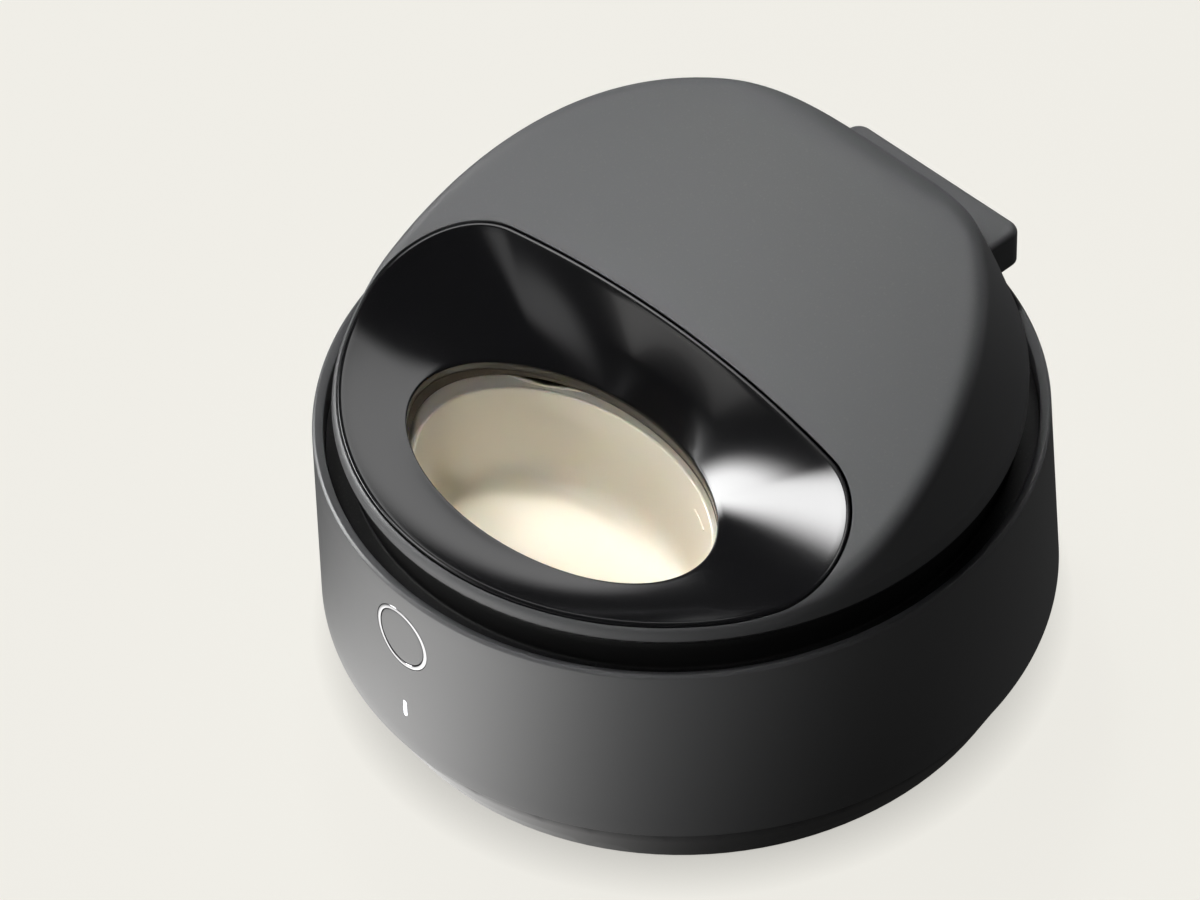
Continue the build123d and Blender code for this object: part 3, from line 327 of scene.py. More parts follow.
print(len(bpy.data.materials), "materials")

# %% [markdown]
# The sizes below are the CAD model's, in millimetres. The base is a wall that widens downwards to a seam,
# above a dark skirt that draws in again, so the feeder seems to float a little over the table.
# The wall's top edge is a narrow chamfer that catches the light, then a shallow slope into a deep groove.
# The wall leans outwards on its way down, so at the foot of the chamfer it is a lean wider than at the top.
# Every turned piece takes its radii and heights from here, so that neighbours meet with the gaps they need.

# %% Sizes of the round body
BODY_R, BODY_TOP = 155.0, 123.3
SEAM_R, SEAM_Z = 160.7, 31.0
WALL, CHAMFER, WALL_LEAN = 3.5, 1.2, 0.07
RIM_R, RIM_DROP = 150.4, 1.7
NECK_R, NECK_IN_R, NECK_TOP = 141.0, 137.8, 131.0
GROOVE_Z, GROOVE_FLOOR = 113.0, 2.5
LID_R, LID_EDGE_Z = 145.5, 133.7
BUTTON_Z, RING_R, RING_W = 96.8, 15.5, 1.9
LIGHT_Z, LIGHT_W, LIGHT_H = 54.9, 2.2, 9.0


def wall_radius(z):
    """Radius of the base's outer wall at a height: a straight line from the seam up to the rim."""
    return BODY_R + (SEAM_R - BODY_R) * (BODY_TOP - z) / (BODY_TOP - SEAM_Z)


print("wall radius at the button", round(wall_radius(BUTTON_Z), 2))

# %% [markdown]
# Holes don't follow a lathe's grid, so they are cut afterwards with Boolean modifiers, as a drill would do in
# a workshop. The cutters are closed shapes, and they are removed once the result is baked into the mesh.
# Each cut runs from inside the wall to outside it. One more helper hands a piece its finish, hangs it on the
# empty of the body it rides on, and hides the CAD nodes it stands for.

# %% Helpers for holes and for handing a piece over
SLOT_STEPS, SLOT_TURN = 64, 0.01


def box_cutter(low, high, turn_z=0.0):
    """Rows of a box between two corners in millimetres, each plan point turned about the Z axis."""
    square = np.array([(low[0], low[1]), (high[0], low[1]), (high[0], high[1]), (low[0], high[1])])
    spin = np.array([[cos(turn_z), sin(turn_z)], [-sin(turn_z), cos(turn_z)]])
    square = square @ spin
    return np.stack([np.column_stack([square, np.full(4, z)]) for z in (low[2], high[2])])


def cut(piece, *cutters):
    """Takes closed cutter shapes out of a piece, and bakes its modifiers into its mesh."""
    tools = [piece_from_rows(f"{piece.name}_cutter", rows, closed=False) for rows in cutters]
    for tool in tools:
        step = piece.modifiers.new("hole", "BOOLEAN")
        step.operation = "DIFFERENCE"
        step.solver = "EXACT"
        step.object = tool
    bake(piece)
    for tool in tools:
        bpy.data.objects.remove(tool)


def bake(piece):
    """Replaces a piece's mesh by what its modifiers make of it."""
    seen = piece.evaluated_get(bpy.context.evaluated_depsgraph_get())
    mesh = bpy.data.meshes.new_from_object(seen)
    piece.modifiers.clear()
    piece.data = mesh
    smooth(mesh)


def slot_cutter(half_wide, half_long, centre_z, near, far):
    """Rows of a round-ended bar along Y: two half circles, apart by the straight sides between them."""
    turns = np.linspace(0, 2 * pi, SLOT_STEPS, endpoint=False) + SLOT_TURN
    x = half_wide * np.cos(turns)
    z = centre_z + half_wide * np.sin(turns) + (half_long - half_wide) * np.sign(np.sin(turns))
    return np.stack([np.stack([x, np.full(SLOT_STEPS, y), z], axis=-1) for y in (near, far)])


def own(piece, material, body, slot_name, *nodes):
    """A new piece takes its material and body, and stands for CAD nodes, which it hides; slot_name is not
    used.
    """
    piece.data.materials.clear()
    piece.data.materials.append(material)
    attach(piece, body)
    if nodes:
        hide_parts(*nodes)


print("helpers ready, cutters have", SLOT_STEPS, "steps round")

# %% [markdown]
# The base shell is a turned wall, so its profile is lathed: up the outside, over the chamfered rim and down
# the inside. A few extra rows on the outside keep the faces short where the button, the light, the warm air
# outlet and the power socket are cut through. The outlet and the socket are at the back.

# %% Base shell with its holes
LEDGE_Z, CUT_ROWS = 107.0, (39.0, 44.0, 49.0, 61.0, 67.0, 80.0, 114.0)
BUTTON_GAP, LIGHT_GAP = 0.25, 0.1
OUTLET_HALF, OUTLET_LOW, OUTLET_HIGH = 37.0, 40.0, 66.0
INLET_TURN, INLET_Z, INLET_HALF = radians(23.0), 52.0, 5.7
FRONT_CUT, OUTLET_CUT, INLET_CUT = (-150.0, -165.0), (140.0, 165.0), (145.0, 170.0)
base_wall = piece_from_rows("base_wall", lathe_rows([
    (SEAM_R, SEAM_Z, 0.5),
    *[(wall_radius(z), z, 0) for z in CUT_ROWS],
    (BODY_R + WALL_LEAN, BODY_TOP - CHAMFER, 0.35),
    (BODY_R - CHAMFER, BODY_TOP, 0.35),
    (RIM_R, BODY_TOP - RIM_DROP, 0.5),
    (RIM_R, GROOVE_Z - GROOVE_FLOOR, 0.2),
    (wall_radius(LEDGE_Z) - WALL, LEDGE_Z, 0.2),
    (wall_radius(SEAM_Z) - WALL, SEAM_Z, 0.3),
]))
inlet_low = (-INLET_HALF, INLET_CUT[0], INLET_Z - INLET_HALF)
inlet_high = (INLET_HALF, INLET_CUT[1], INLET_Z + INLET_HALF)
cut(
    base_wall,
    slot_cutter(RING_R + BUTTON_GAP, RING_R + BUTTON_GAP, BUTTON_Z, *FRONT_CUT),
    slot_cutter(LIGHT_W / 2 + LIGHT_GAP, LIGHT_H / 2 + LIGHT_GAP, LIGHT_Z, *FRONT_CUT),
    box_cutter((-OUTLET_HALF, OUTLET_CUT[0], OUTLET_LOW), (OUTLET_HALF, OUTLET_CUT[1], OUTLET_HIGH)),
    box_cutter(inlet_low, inlet_high, INLET_TURN),
)
own(base_wall, body_satin, "base", "body_grey", "base_shell")

# %% [markdown]
# The neck is turned too. It is the deep recess under the lid, where fingers reach in to lift it, and its
# step carries the rim of the aluminium well. The same lathe helper makes it, and its finish is nearly black,
# so that the groove reads as a shadow all round.

# %% Recessed neck
NECK_GAP, STEP_R, STEP_Z = 0.2, 131.0, 115.5
neck = piece_from_rows("neck", lathe_rows([
    (RIM_R - NECK_GAP, GROOVE_Z - GROOVE_FLOOR, 0.0),
    (RIM_R - NECK_GAP, GROOVE_Z, 0.3),
    (NECK_R, GROOVE_Z, 1.2),
    (NECK_R, NECK_TOP, 1.0),
    (NECK_IN_R, NECK_TOP, 0.6),
    (NECK_IN_R, STEP_Z, 0.2),
    (STEP_R, STEP_Z, 0.2),
    (STEP_R, GROOVE_Z - GROOVE_FLOOR, 0.2),
]))
own(neck, groove_matt, "base", "neck_black", "neck_ring")

# %% [markdown]
# The button sits flush in the curved wall, inside a bright ring. Both must follow the wall, so each is
# drawn in its own polar coordinates: a distance and an angle from the button's middle give x and z, and y
# is taken from the wall's circle at that height. A depth then moves a point straight into the wall.
# The ring's profile is a low crown, which is why it flashes in two places instead of all round.
# A turn of a thousandth of a radian off the axis keeps each point clearly on one side of a shape's middle.

# %% Button, ring and light on the curved wall
FACE_DEPTH, FACE_LONG, BUTTON_PLAY = 0.15, 5.2, 0.3
RING_DEPTH, RING_CROWN = 4.5, 0.32
LIGHT_PLAY, LIGHT_DEPTH = 0.05, 6.0
OFF_AXIS = 0.001
FACE_TURNS = np.linspace(0, 2 * pi, 128, endpoint=False)


def on_wall(x, z, depth):
    """Point on the wall: y is minus the square root of (radius squared less x squared), plus a depth."""
    return np.stack([x, depth - np.sqrt(wall_radius(z) ** 2 - x**2), z], axis=-1)


def disc_on_wall(middle_z, steps, stretch=0.0):
    """Rows of a round or slot-shaped face from (distance, depth) steps.

    A point is at x = distance * cos(t) and z = middle + distance * sin(t), with each half moved up or down
    by the stretch.
    """
    rows = []
    for distance, depth in steps:
        x = distance * np.cos(FACE_TURNS)
        z = middle_z + distance * np.sin(FACE_TURNS) + stretch * np.sign(np.sin(FACE_TURNS + OFF_AXIS))
        rows.append(on_wall(x, z, depth))
    return np.stack(rows)


BUTTON_R = RING_R - RING_W - BUTTON_PLAY
button_steps = [(d, FACE_DEPTH) for d in (0.5, 4.0, 8.0, 11.0, BUTTON_R - 0.6)]
button_steps += [(BUTTON_R - 0.25, 0.21), (BUTTON_R - 0.07, 0.4), (BUTTON_R, 0.75), (BUTTON_R, FACE_LONG)]
button_face = piece_from_rows("button_face", disc_on_wall(BUTTON_Z, button_steps), closed=False)
own(button_face, body_satin, "button", "body_grey", "front_button")

ring_in = RING_R - RING_W
ring_corners = [(ring_in, RING_DEPTH), (ring_in, 0.0), (RING_R - RING_W / 2, -RING_CROWN), (RING_R, 0.05),
                (RING_R, RING_DEPTH)]
ring_path = rounded_path(ring_corners, [0.2, 0.3, 0.6, 0.3, 0.2], True)
bright_ring = piece_from_rows("bright_ring", disc_on_wall(BUTTON_Z, ring_path))
own(bright_ring, ring_chrome, "base", "ring_chrome", "button_ring")

light_r = LIGHT_W / 2 - LIGHT_PLAY
light_steps = [(0.05, 0.0), (light_r - 0.3, 0.0), (light_r - 0.08, 0.06), (light_r, 0.3)]
light_steps += [(light_r, LIGHT_DEPTH)]
light_rows = disc_on_wall(LIGHT_Z, light_steps, stretch=(LIGHT_H - LIGHT_W) / 2)
light_window = piece_from_rows("light_window", light_rows, closed=False)
own(light_window, light_glow, "base", "light_white", "light_pipe")

# %% [markdown]
# The lid is the feeder's main form: level round the scoop at the front, then rising in one smooth sweep to
# a crest near the back, and falling steeply over a rounded shoulder. No lathe makes that, and sculpting
# would not repeat. So the skin is written as a rule that says how far any point is outside it: the larger
# of its distance above the middle profile and its distance outside the shoulder, blended so that the two
# meet in a soft brow. Rays from a point inside then find the skin by halving steps, all at once in numpy.

# %% The lid's skin as a rule
FRONT_Z, RISE = 140.2, 55.4
RISE_FROM, RISE_TO, BACK_FALL = -83.2, 100.1, 0.0239
SHOULDER = np.array([(145.5, 141.5), (144.1, 146.2), (142.1, 152.3), (138.1, 164.0), (133.4, 176.3),
                     (127.7, 190.0), (120.0, 206.0), (106.0, 228.0), (0.0, 262.0)])
BROW, SLOPE_EASE, HALVINGS = 6.0, 1.05, 40


def middle_height(y):
    """Front height, plus a rise of 3tt - 2ttt, less a parabola behind the crest."""
    share = np.clip((y - RISE_FROM) / (RISE_TO - RISE_FROM), 0, 1)
    return FRONT_Z + RISE * share**2 * (3 - 2 * share) - BACK_FALL * np.maximum(y - RISE_TO, 0) ** 2


def through(points, steps=40):
    """A smooth curve through points: cubic pieces whose slopes are half the step between neighbours.

    It starts straight up, because the lid's lower edge hangs plumb.
    """
    slopes = np.gradient(points, axis=0)
    slopes[0] = (0.0, slopes[0][1])
    s = np.linspace(0, 1, steps, endpoint=False)[:, None]
    pieces = [
        (2 * s**3 - 3 * s**2 + 1) * points[i] + (s**3 - 2 * s**2 + s) * slopes[i]
        + (3 * s**2 - 2 * s**3) * points[i + 1] + (s**3 - s**2) * slopes[i + 1]
        for i in range(len(points) - 1)
    ]
    return np.concatenate(pieces + [points[-1:]])


shoulder_curve = through(SHOULDER)


def outside_lid(x, y, z):
    """How far a point is outside the skin: a soft maximum of its two distances.

    The maximum of a and b is raised by (w - |a - b|) squared over 4w where they differ by less than w.
    """
    above = (z - middle_height(y)) / SLOPE_EASE
    far = np.hypot(x, y)
    limit = np.interp(z, shoulder_curve[:, 1], shoulder_curve[:, 0])
    lean = limit - np.interp(z + 1, shoulder_curve[:, 1], shoulder_curve[:, 0])
    beyond = (far - limit) / np.sqrt(1 + lean**2)
    return np.maximum(above, beyond) + np.maximum(BROW - np.abs(above - beyond), 0) ** 2 / (4 * BROW)


def march(start, way, reach=420.0):
    """Where rays from inside leave the lid: the interval that holds the skin is halved again and again."""
    near, far = np.zeros(way.shape[:-1]), np.full(way.shape[:-1], reach)
    for _ in range(HALVINGS):
        middle = (near + far) / 2
        point = start + way * middle[..., None]
        inside = outside_lid(point[..., 0], point[..., 1], point[..., 2]) < 0
        near, far = np.where(inside, middle, near), np.where(inside, far, middle)
    return start + way * near[..., None]


def skin_height(x, y):
    """Height of the skin straight above a place in plan."""
    start = np.stack([x, y, np.full_like(x, 100.0)], axis=-1)
    return march(start, np.broadcast_to([0.0, 0.0, 1.0], start.shape), 120.0)[..., 2]


print("crest", round(float(middle_height(np.array(RISE_TO))), 1), "mm above the table")

# %% [markdown]
# The scoop's outline in plan is four arcs that run smoothly into each other: a wide one along the lid's
# front, two tight corners and a nearly straight back. Looking out from the scoop's middle, the nearest arc
# in each direction is the outline. The lid's hole is the same outline, wider by the shadow gap, so the
# lid's skin is drawn as rays that start at the hole and swing down to the lid's lower edge.

# %% The scoop's outline
FRONT_ARC_R, CORNER_X, CORNER_R, BACK_EDGE_Y = 142.4, 91.0, 40.5, 1.0
OPENING_A, OPENING_B, OPENING_Y = 79.2, 48.0, -67.0
OPENING_FRONT_Z, OPENING_BACK_Z = 135.0, 125.0
SHADOW_GAP = 0.9
corner_y = -sqrt((FRONT_ARC_R - CORNER_R) ** 2 - CORNER_X**2)
span = BACK_EDGE_Y - corner_y
back_arc_r = (CORNER_X**2 + span**2 - CORNER_R**2) / (2 * (span - CORNER_R))
back_arc_y = BACK_EDGE_Y - back_arc_r
corner_from = atan2(corner_y, CORNER_X)
corner_to = atan2(corner_y - back_arc_y, CORNER_X)


def outline(angle, grow):
    """Plan points of the outline, seen from the scoop's middle in each direction.

    A ray leaves a circle at a distance of -b + the square root of (b squared - c), and the arc that the ray
    reaches first gives the point.
    """
    way_x, way_y = np.cos(angle), np.sin(angle)

    def reach(x, y, radius):
        along = -x * way_x + (OPENING_Y - y) * way_y
        return -along + np.sqrt(np.maximum(along**2 - (x**2 + (OPENING_Y - y) ** 2 - radius**2), 0))

    far = np.minimum(reach(0, 0, FRONT_ARC_R + grow), reach(0, back_arc_y, back_arc_r + grow))
    bearing = np.arctan2(OPENING_Y + way_y * far - corner_y, np.abs(way_x) * far - CORNER_X)
    tight = reach(np.sign(way_x) * CORNER_X, corner_y, CORNER_R + grow)
    far = np.where((bearing > corner_from) & (bearing < corner_to), tight, far)
    return way_x * far, OPENING_Y + way_y * far


def opening_height(y):
    """Height of the opening's edge: a straight line in y, from its front height down to its back height."""
    fall = OPENING_BACK_Z - OPENING_FRONT_Z
    return OPENING_FRONT_Z + fall * (y - OPENING_Y + OPENING_B) / (2 * OPENING_B)


print("scoop corners at y", round(corner_y, 1), "back arc radius", round(back_arc_r))

# %% [markdown]
# Now the skin can be drawn. Each ray starts at a point inside the lid, leans up towards the hole's edge and
# swings down to the lid's lower edge in equal steps, so the rows lie evenly over the dome. Solidify then
# gives the skin the wall of a real moulding, inwards only, and Bevel rounds the two cut edges, which would
# otherwise look like paper. The notch at the back makes room for the hinge cover.

# %% Lid skin
LID_ACROSS, LID_DOWN, EYE_Z = 400, 100, 92.0
LID_WALL, EDGE_ROUND, EDGE_ANGLE = 2.6, 0.35, radians(50)
HINGE_NOTCH = (-50.3, 130.7, 120.0), (50.3, 170.0, 152.3)
lid_turns = np.linspace(0, 2 * pi, LID_ACROSS, endpoint=False) + OFF_AXIS
eye = np.array([0.0, OPENING_Y, EYE_Z])
hole_x, hole_y = outline(lid_turns, SHADOW_GAP)
hole_up = np.arctan2(skin_height(hole_x, hole_y) - eye[2], np.hypot(hole_x, hole_y - OPENING_Y))
edge_along = -(OPENING_Y * np.sin(lid_turns))
edge_far = edge_along + np.sqrt(edge_along**2 + LID_R**2 - OPENING_Y**2)
edge_up = np.arctan2(LID_EDGE_Z - eye[2], edge_far)
share = np.linspace(0, 1, LID_DOWN)[:, None]
swing = hole_up * (1 - share) + edge_up * share
ray = np.stack([np.cos(swing) * np.cos(lid_turns), np.cos(swing) * np.sin(lid_turns), np.sin(swing)], axis=-1)
lid_skin = piece_from_rows("lid_skin", march(eye, ray), closed=False, outward=False)
middle_face = lid_skin.data.polygons[LID_ACROSS * LID_DOWN // 2]
if middle_face.normal.dot(middle_face.center) < 0:
    lid_skin.data.flip_normals()
wall = lid_skin.modifiers.new("wall", "SOLIDIFY")
wall.thickness = LID_WALL * MM
wall.offset = -1.0
edge = lid_skin.modifiers.new("edge", "BEVEL")
edge.limit_method = "ANGLE"
edge.angle_limit = EDGE_ANGLE
edge.width = EDGE_ROUND * MM
edge.segments = 3
bake(lid_skin)
cut(lid_skin, box_cutter(*HINGE_NOTCH))
own(lid_skin, lid_matt, "lid", "lid_black", "lid_shell")
print("lid skin measures", [round(v / MM, 1) for v in lid_skin.dimensions], "mm")

# %% [markdown]
# The scoop is a glossy dish that leads the muzzle to the opening. Its surface is made of straight lines
# from the opening's oval edge out to the outline, which is why its right end flashes as a bright fan: the
# lines there all tip the same way. They sag by a millimetre in the middle, by 4s(1-s) along each, which
# softens the reflections. A loop round the section gives it thickness, a flat rim and an edge.

# %% Scoop dish
SCOOP_WALL, RIM_BAND, RIM_SINK, DISH_STEPS, DISH_SAG = 4.0, 1.4, 0.1, 16, 1.0
dish_turns = np.linspace(0, 2 * pi, 480, endpoint=False) + OFF_AXIS
oval_x, oval_y = OPENING_A * np.cos(dish_turns), OPENING_Y + OPENING_B * np.sin(dish_turns)
heading = np.arctan2(oval_y - OPENING_Y, oval_x)
oval = np.stack([oval_x, oval_y, opening_height(oval_y)], axis=-1)


def rim_at(inward, lower):
    """Rim points a distance inside the outline and below the lid's skin."""
    x, y = outline(heading, -inward)
    return np.stack([x, y, skin_height(x, y) - lower], axis=-1)


rim_outer, rim_inner = rim_at(0.0, RIM_SINK), rim_at(RIM_BAND, RIM_SINK)
up = np.array([0.0, 0.0, 1.0])
steps = np.linspace(0, 1, DISH_STEPS + 2)[1:-1]
slope = [rim_inner * (1 - s) + oval * s - up * DISH_SAG * 4 * s * (1 - s) for s in steps]
under = [rim_inner * (1 - s) + oval * s - up * SCOOP_WALL for s in steps[::-1]]
corners = [rim_at(0.0, SCOOP_WALL), rim_outer, rim_inner, *slope, oval, oval - up * SCOOP_WALL, *under]
radii = [0.3, 0.35, 0.5] + [0] * DISH_STEPS + [1.0, 0.4] + [0] * DISH_STEPS
scoop_dish = piece_from_rows("scoop_dish", rounded_path(corners, radii, True))
own(scoop_dish, scoop_gloss, "lid", "scoop_black", "scoop_insert")

# %% [markdown]
# Under the dish a soft lip closes the way to the shutter, so that the bowl below stays covered and cool.
# It is an oval tube with a level foot and a tilted top, drawn as four ovals with rounded edges between them.
# It is brownish and quite matt, and it is what makes the bowl look deep.

# %% Opening lip
LIP_W, LIP_LOW_Z, LIP_GAP = 3.0, 119.4, 0.3


def oval_at(grow, z):
    """Oval of the opening at a height: x is a cos(t) and y is b sin(t), with a and b grown by a distance."""
    x = (OPENING_A + grow) * np.cos(dish_turns)
    y = OPENING_Y + (OPENING_B + grow) * np.sin(dish_turns)
    return np.stack([x, y, z + 0 * x], axis=-1)


lip_top = opening_height(oval_y) - SCOOP_WALL - LIP_GAP
lip_corners = [oval_at(0, LIP_LOW_Z), oval_at(0, lip_top), oval_at(LIP_W, lip_top), oval_at(LIP_W, LIP_LOW_Z)]
soft_lip = piece_from_rows("soft_lip", rounded_path(lip_corners, [0.8, 0.5, 0.3, 0.8], True))
own(soft_lip, lip_rubber, "lid", "lip_brown", "opening_lip")

# %% [markdown]
# The tray is one ivory moulding with three oval bowls in a ring, turned by a hub so that each comes under
# the opening in its turn. The deck is a turned disc with three oval holes, and each bowl is a grid of
# ovals that shrink on the way down, with a rolled bead at the mouth that hides the joint with the deck.

# %% Food tray
TRAY_R, TRAY_TOP, DECK_T, DECK_DROP, HUB_HOLE_R = 122.5, 114.5, 3.0, 0.3, 3.0
BOWL_A, BOWL_B, BOWL_OUT, BOWL_DEPTH, BOWL_TAPER = 75.0, 48.0, 67.4, 40.0, radians(12.0)
BOWL_WALL, BOWL_ROUND, FLOOR_IN = 2.0, 13, 14
BEAD_W, BEAD_H, DECK_HOLE_GROW = 1.9, 2.4, 0.9
bowl_turns = np.linspace(0, 2 * pi, 256, endpoint=False)


def bowl_ring(grow, z, spin):
    """Oval ring of a bowl at a height: a cos(t) and b sin(t), moved out and turned about the tray's axis."""
    x = (BOWL_A + grow) * np.cos(bowl_turns)
    y = -BOWL_OUT + (BOWL_B + grow) * np.sin(bowl_turns)
    return np.stack([x * cos(spin) - y * sin(spin), x * sin(spin) + y * cos(spin), z + 0 * x], axis=-1)


def bowl_rows(spin):
    """Rows from the bowl's floor up its wall, over the bead and down the outside."""
    floor_z = TRAY_TOP - BOWL_DEPTH
    draw_in = BOWL_DEPTH * np.tan(BOWL_TAPER)
    corners = [
        bowl_ring(-draw_in - FLOOR_IN, floor_z, spin),
        bowl_ring(-draw_in, floor_z, spin),
        bowl_ring(0, TRAY_TOP, spin),
        bowl_ring(BEAD_W, TRAY_TOP, spin),
        bowl_ring(BEAD_W, TRAY_TOP - BEAD_H, spin),
        bowl_ring(-draw_in + BOWL_WALL, floor_z - BOWL_WALL, spin),
        bowl_ring(-draw_in - FLOOR_IN, floor_z - BOWL_WALL, spin),
    ]
    return rounded_path(corners, [0, BOWL_ROUND, 0.8, 0.9, 0.6, BOWL_ROUND, 0], False)


deck_low, deck_high = TRAY_TOP - DECK_T, TRAY_TOP - DECK_DROP
deck_profile = [(HUB_HOLE_R, deck_low, 0), (TRAY_R, deck_low, 0.8), (TRAY_R, deck_high, 1.0),
                (HUB_HOLE_R, deck_high, 0)]
tray_deck = piece_from_rows("tray_deck", lathe_rows(deck_profile, closed=False), closed=False)
spins = [radians(120.0 * i) for i in range(3)]
hole_heights = (100.0, 130.0)
cut(tray_deck, *[np.stack([bowl_ring(DECK_HOLE_GROW, z, spin) for z in hole_heights]) for spin in spins])
own(tray_deck, tray_ivory, "turntable", "tray_ivory", "food_tray")
for number, spin in enumerate(spins):
    bowl = piece_from_rows(f"bowl_{number + 1}", bowl_rows(spin), closed=False)
    own(bowl, tray_ivory, "turntable", "tray_ivory")

# %% [markdown]
# A short raised line inside each bowl shows how full it may be. It is a thin oval bar that is bent along
# the wall: its section is the same all the way, so a grid of sections along the arc is enough.

# %% Fill lines on the bowls' walls
LINE_BELOW, LINE_HALF_H, LINE_PROUD = 9.0, 0.4, 0.45
LINE_FROM, LINE_TO = radians(47.0), radians(58.0)


def fill_line(spin):
    """Sections of a bar: a point moves in from the wall by proud*cos(a) and up by half the height*sin(a)."""
    arc = np.linspace(LINE_FROM, LINE_TO, 24)[:, None]
    section = np.linspace(0, 2 * pi, 12, endpoint=False)
    z = TRAY_TOP - LINE_BELOW + LINE_HALF_H * np.sin(section) + 0 * arc
    grow = -(TRAY_TOP - z) * np.tan(BOWL_TAPER) - LINE_PROUD * np.cos(section)
    x = (BOWL_A + grow) * np.cos(arc)
    y = -BOWL_OUT + (BOWL_B + grow) * np.sin(arc)
    return np.stack([x * cos(spin) - y * sin(spin), x * sin(spin) + y * cos(spin), z], axis=-1)


for number, spin in enumerate(spins):
    line = piece_from_rows(f"fill_line_{number + 1}", fill_line(spin), closed=False)
    own(line, tray_ivory, "turntable", "tray_ivory")

# %% [markdown]
# Every other piece keeps the form of its CAD mesh. Each is a merged copy, because the CAD triangles are
# loose and would all shade flat, and it only needs a finish. The record says which body a node rides on
# and which material slot it has, so only the finish has to be chosen here.

# %% Finishes for the other nodes
CAD_SMOOTH, MERGE_WITHIN = 28, 0.00001


def merged_copy(node):
    """A copy of a CAD node's mesh, merged and smoothed; weighted normals keep its large flat faces flat."""
    mesh = frame["nodes"][node].data.copy()
    shell = bmesh.new()
    shell.from_mesh(mesh)
    bmesh.ops.remove_doubles(shell, verts=shell.verts, dist=MERGE_WITHIN)
    shell.to_mesh(mesh)
    shell.free()
    smooth(mesh, CAD_SMOOTH)
    piece = bpy.data.objects.new(f"{node}_dressed", mesh)
    bpy.context.scene.collection.objects.link(piece)
    even = piece.modifiers.new("even_shading", "WEIGHTED_NORMAL")
    even.keep_sharp = True
    return piece


record = frame["record"]
body_of = {node: body for body, nodes in record["behaviour"]["bodies"].items() for node in nodes}
slot_of = {part["node"]: part["material_slot"] for part in record["subparts"]}
finish_of = {
    "feet": foot_rubber, "base_screws": steel_ground, "cooling_well": aluminium_plain,
    "insulation": foam_white, "shaft_bush": gear_nylon, "drive_hub": gear_nylon, "tray_gear": gear_nylon,
    "tray_pinion": gear_nylon, "tray_motor": steel_ground, "cold_plate": aluminium_plain,
    "cooler_tile": tile_ceramic, "heat_sink": aluminium_plain, "fan_frame": socket_black,
    "fan_rotor": socket_black, "lid_plate": plate_dark, "lid_gasket": gasket_soft, "motor_bridge": plate_dark,
    "shutter_motor": steel_ground, "shutter_clip": steel_ground, "shutter": shutter_dark,
    "shutter_pinion": gear_nylon, "hinge_cover": lid_matt, "hinge_bracket": groove_matt,
    "hinge_pin": steel_ground, "control_board": board_green, "button_switch": socket_black,
    "rear_grille": skirt_matt, "dc_inlet": socket_black, "base_skirt": skirt_matt,
}
for node, material in finish_of.items():
    own(merged_copy(node), material, body_of[node], slot_of[node], node)
print(len(finish_of), "nodes dressed")

# %% [markdown]
# The studio is a pale floor and a pale surround, as the photograph shows, but a pale room would wash out a
# dark, glossy thing. Light Path nodes part the two: the camera sees warm white paper, while the feeder
# itself sees a dim grey room whose floor is bright only at the front. The satin wall mirrors the floor
# beside it, so that patch is what draws the soft light band round the button. An Ambient Occlusion node
# darkens the paper close to the skirt, which makes a narrow contact shadow.

# %% Floor and surround
PAPER = (0.905, 0.888, 0.831, 1)
ROOM = (0.5, 0.5, 0.51, 1)
PAPER_SHADED = (0.05, 0.049, 0.046, 1)
ROOM_LIGHT, PAPER_GLOW, FLOOR_HALF = 0.045, 0.92, 6
SHADE_SHARE, SHADE_REACH = 0.42, 0.02
PATCH_GLOW, PATCH_FOCUS, PATCH_WAY = 2.5, 7.0, (-0.10, -0.995, 0.0)
PATCH_COLOUR = (1.0, 0.99, 0.97, 1)


def part_by_camera(tree, seen_shader, other_shader):
    """Mixes two shaders: one for the camera and for rays through glass, one for every other ray."""
    paths = tree.nodes.new("ShaderNodeLightPath")
    either = tree.nodes.new("ShaderNodeMath")
    either.operation = "MAXIMUM"
    mix = tree.nodes.new("ShaderNodeMixShader")
    tree.links.new(paths.outputs["Is Camera Ray"], either.inputs[0])
    tree.links.new(paths.outputs["Is Transmission Ray"], either.inputs[1])
    tree.links.new(either.outputs[0], mix.inputs[0])
    tree.links.new(other_shader, mix.inputs[1])
    tree.links.new(seen_shader, mix.inputs[2])
    return mix.outputs[0]


def glow(tree, kind, colour, strength):
    """An Emission or Background node of one colour."""
    node = tree.nodes.new(kind)
    node.inputs["Color"].default_value = colour
    node.inputs["Strength"].default_value = strength
    return node.outputs[0]


world = bpy.data.worlds.new("studio_surround")
bpy.context.scene.world = world
world.use_nodes = True
sky = world.node_tree
seen_sky = glow(sky, "ShaderNodeBackground", PAPER, 1.0)
dim_room = glow(sky, "ShaderNodeBackground", ROOM, ROOM_LIGHT)
sky.links.new(part_by_camera(sky, seen_sky, dim_room), sky.nodes["World Output"].inputs["Surface"])

floor_mesh = bpy.data.meshes.new("studio_floor")
floor_corners = [(x * FLOOR_HALF, y * FLOOR_HALF, 0) for x, y in ((-1, -1), (1, -1), (1, 1), (-1, 1))]
floor_mesh.from_pydata(floor_corners, [], [(0, 1, 2, 3)])
studio_floor = bpy.data.objects.new("studio_floor", floor_mesh)
bpy.context.scene.collection.objects.link(studio_floor)
paper = bpy.data.materials.new("studio_paper")
paper.use_nodes = True
tree = paper.node_tree
lit = tree.nodes["Principled BSDF"]
lit.inputs["Base Color"].default_value = PAPER_SHADED
lit.inputs["Roughness"].default_value = 0.9
lit.inputs["Specular IOR Level"].default_value = 0.0


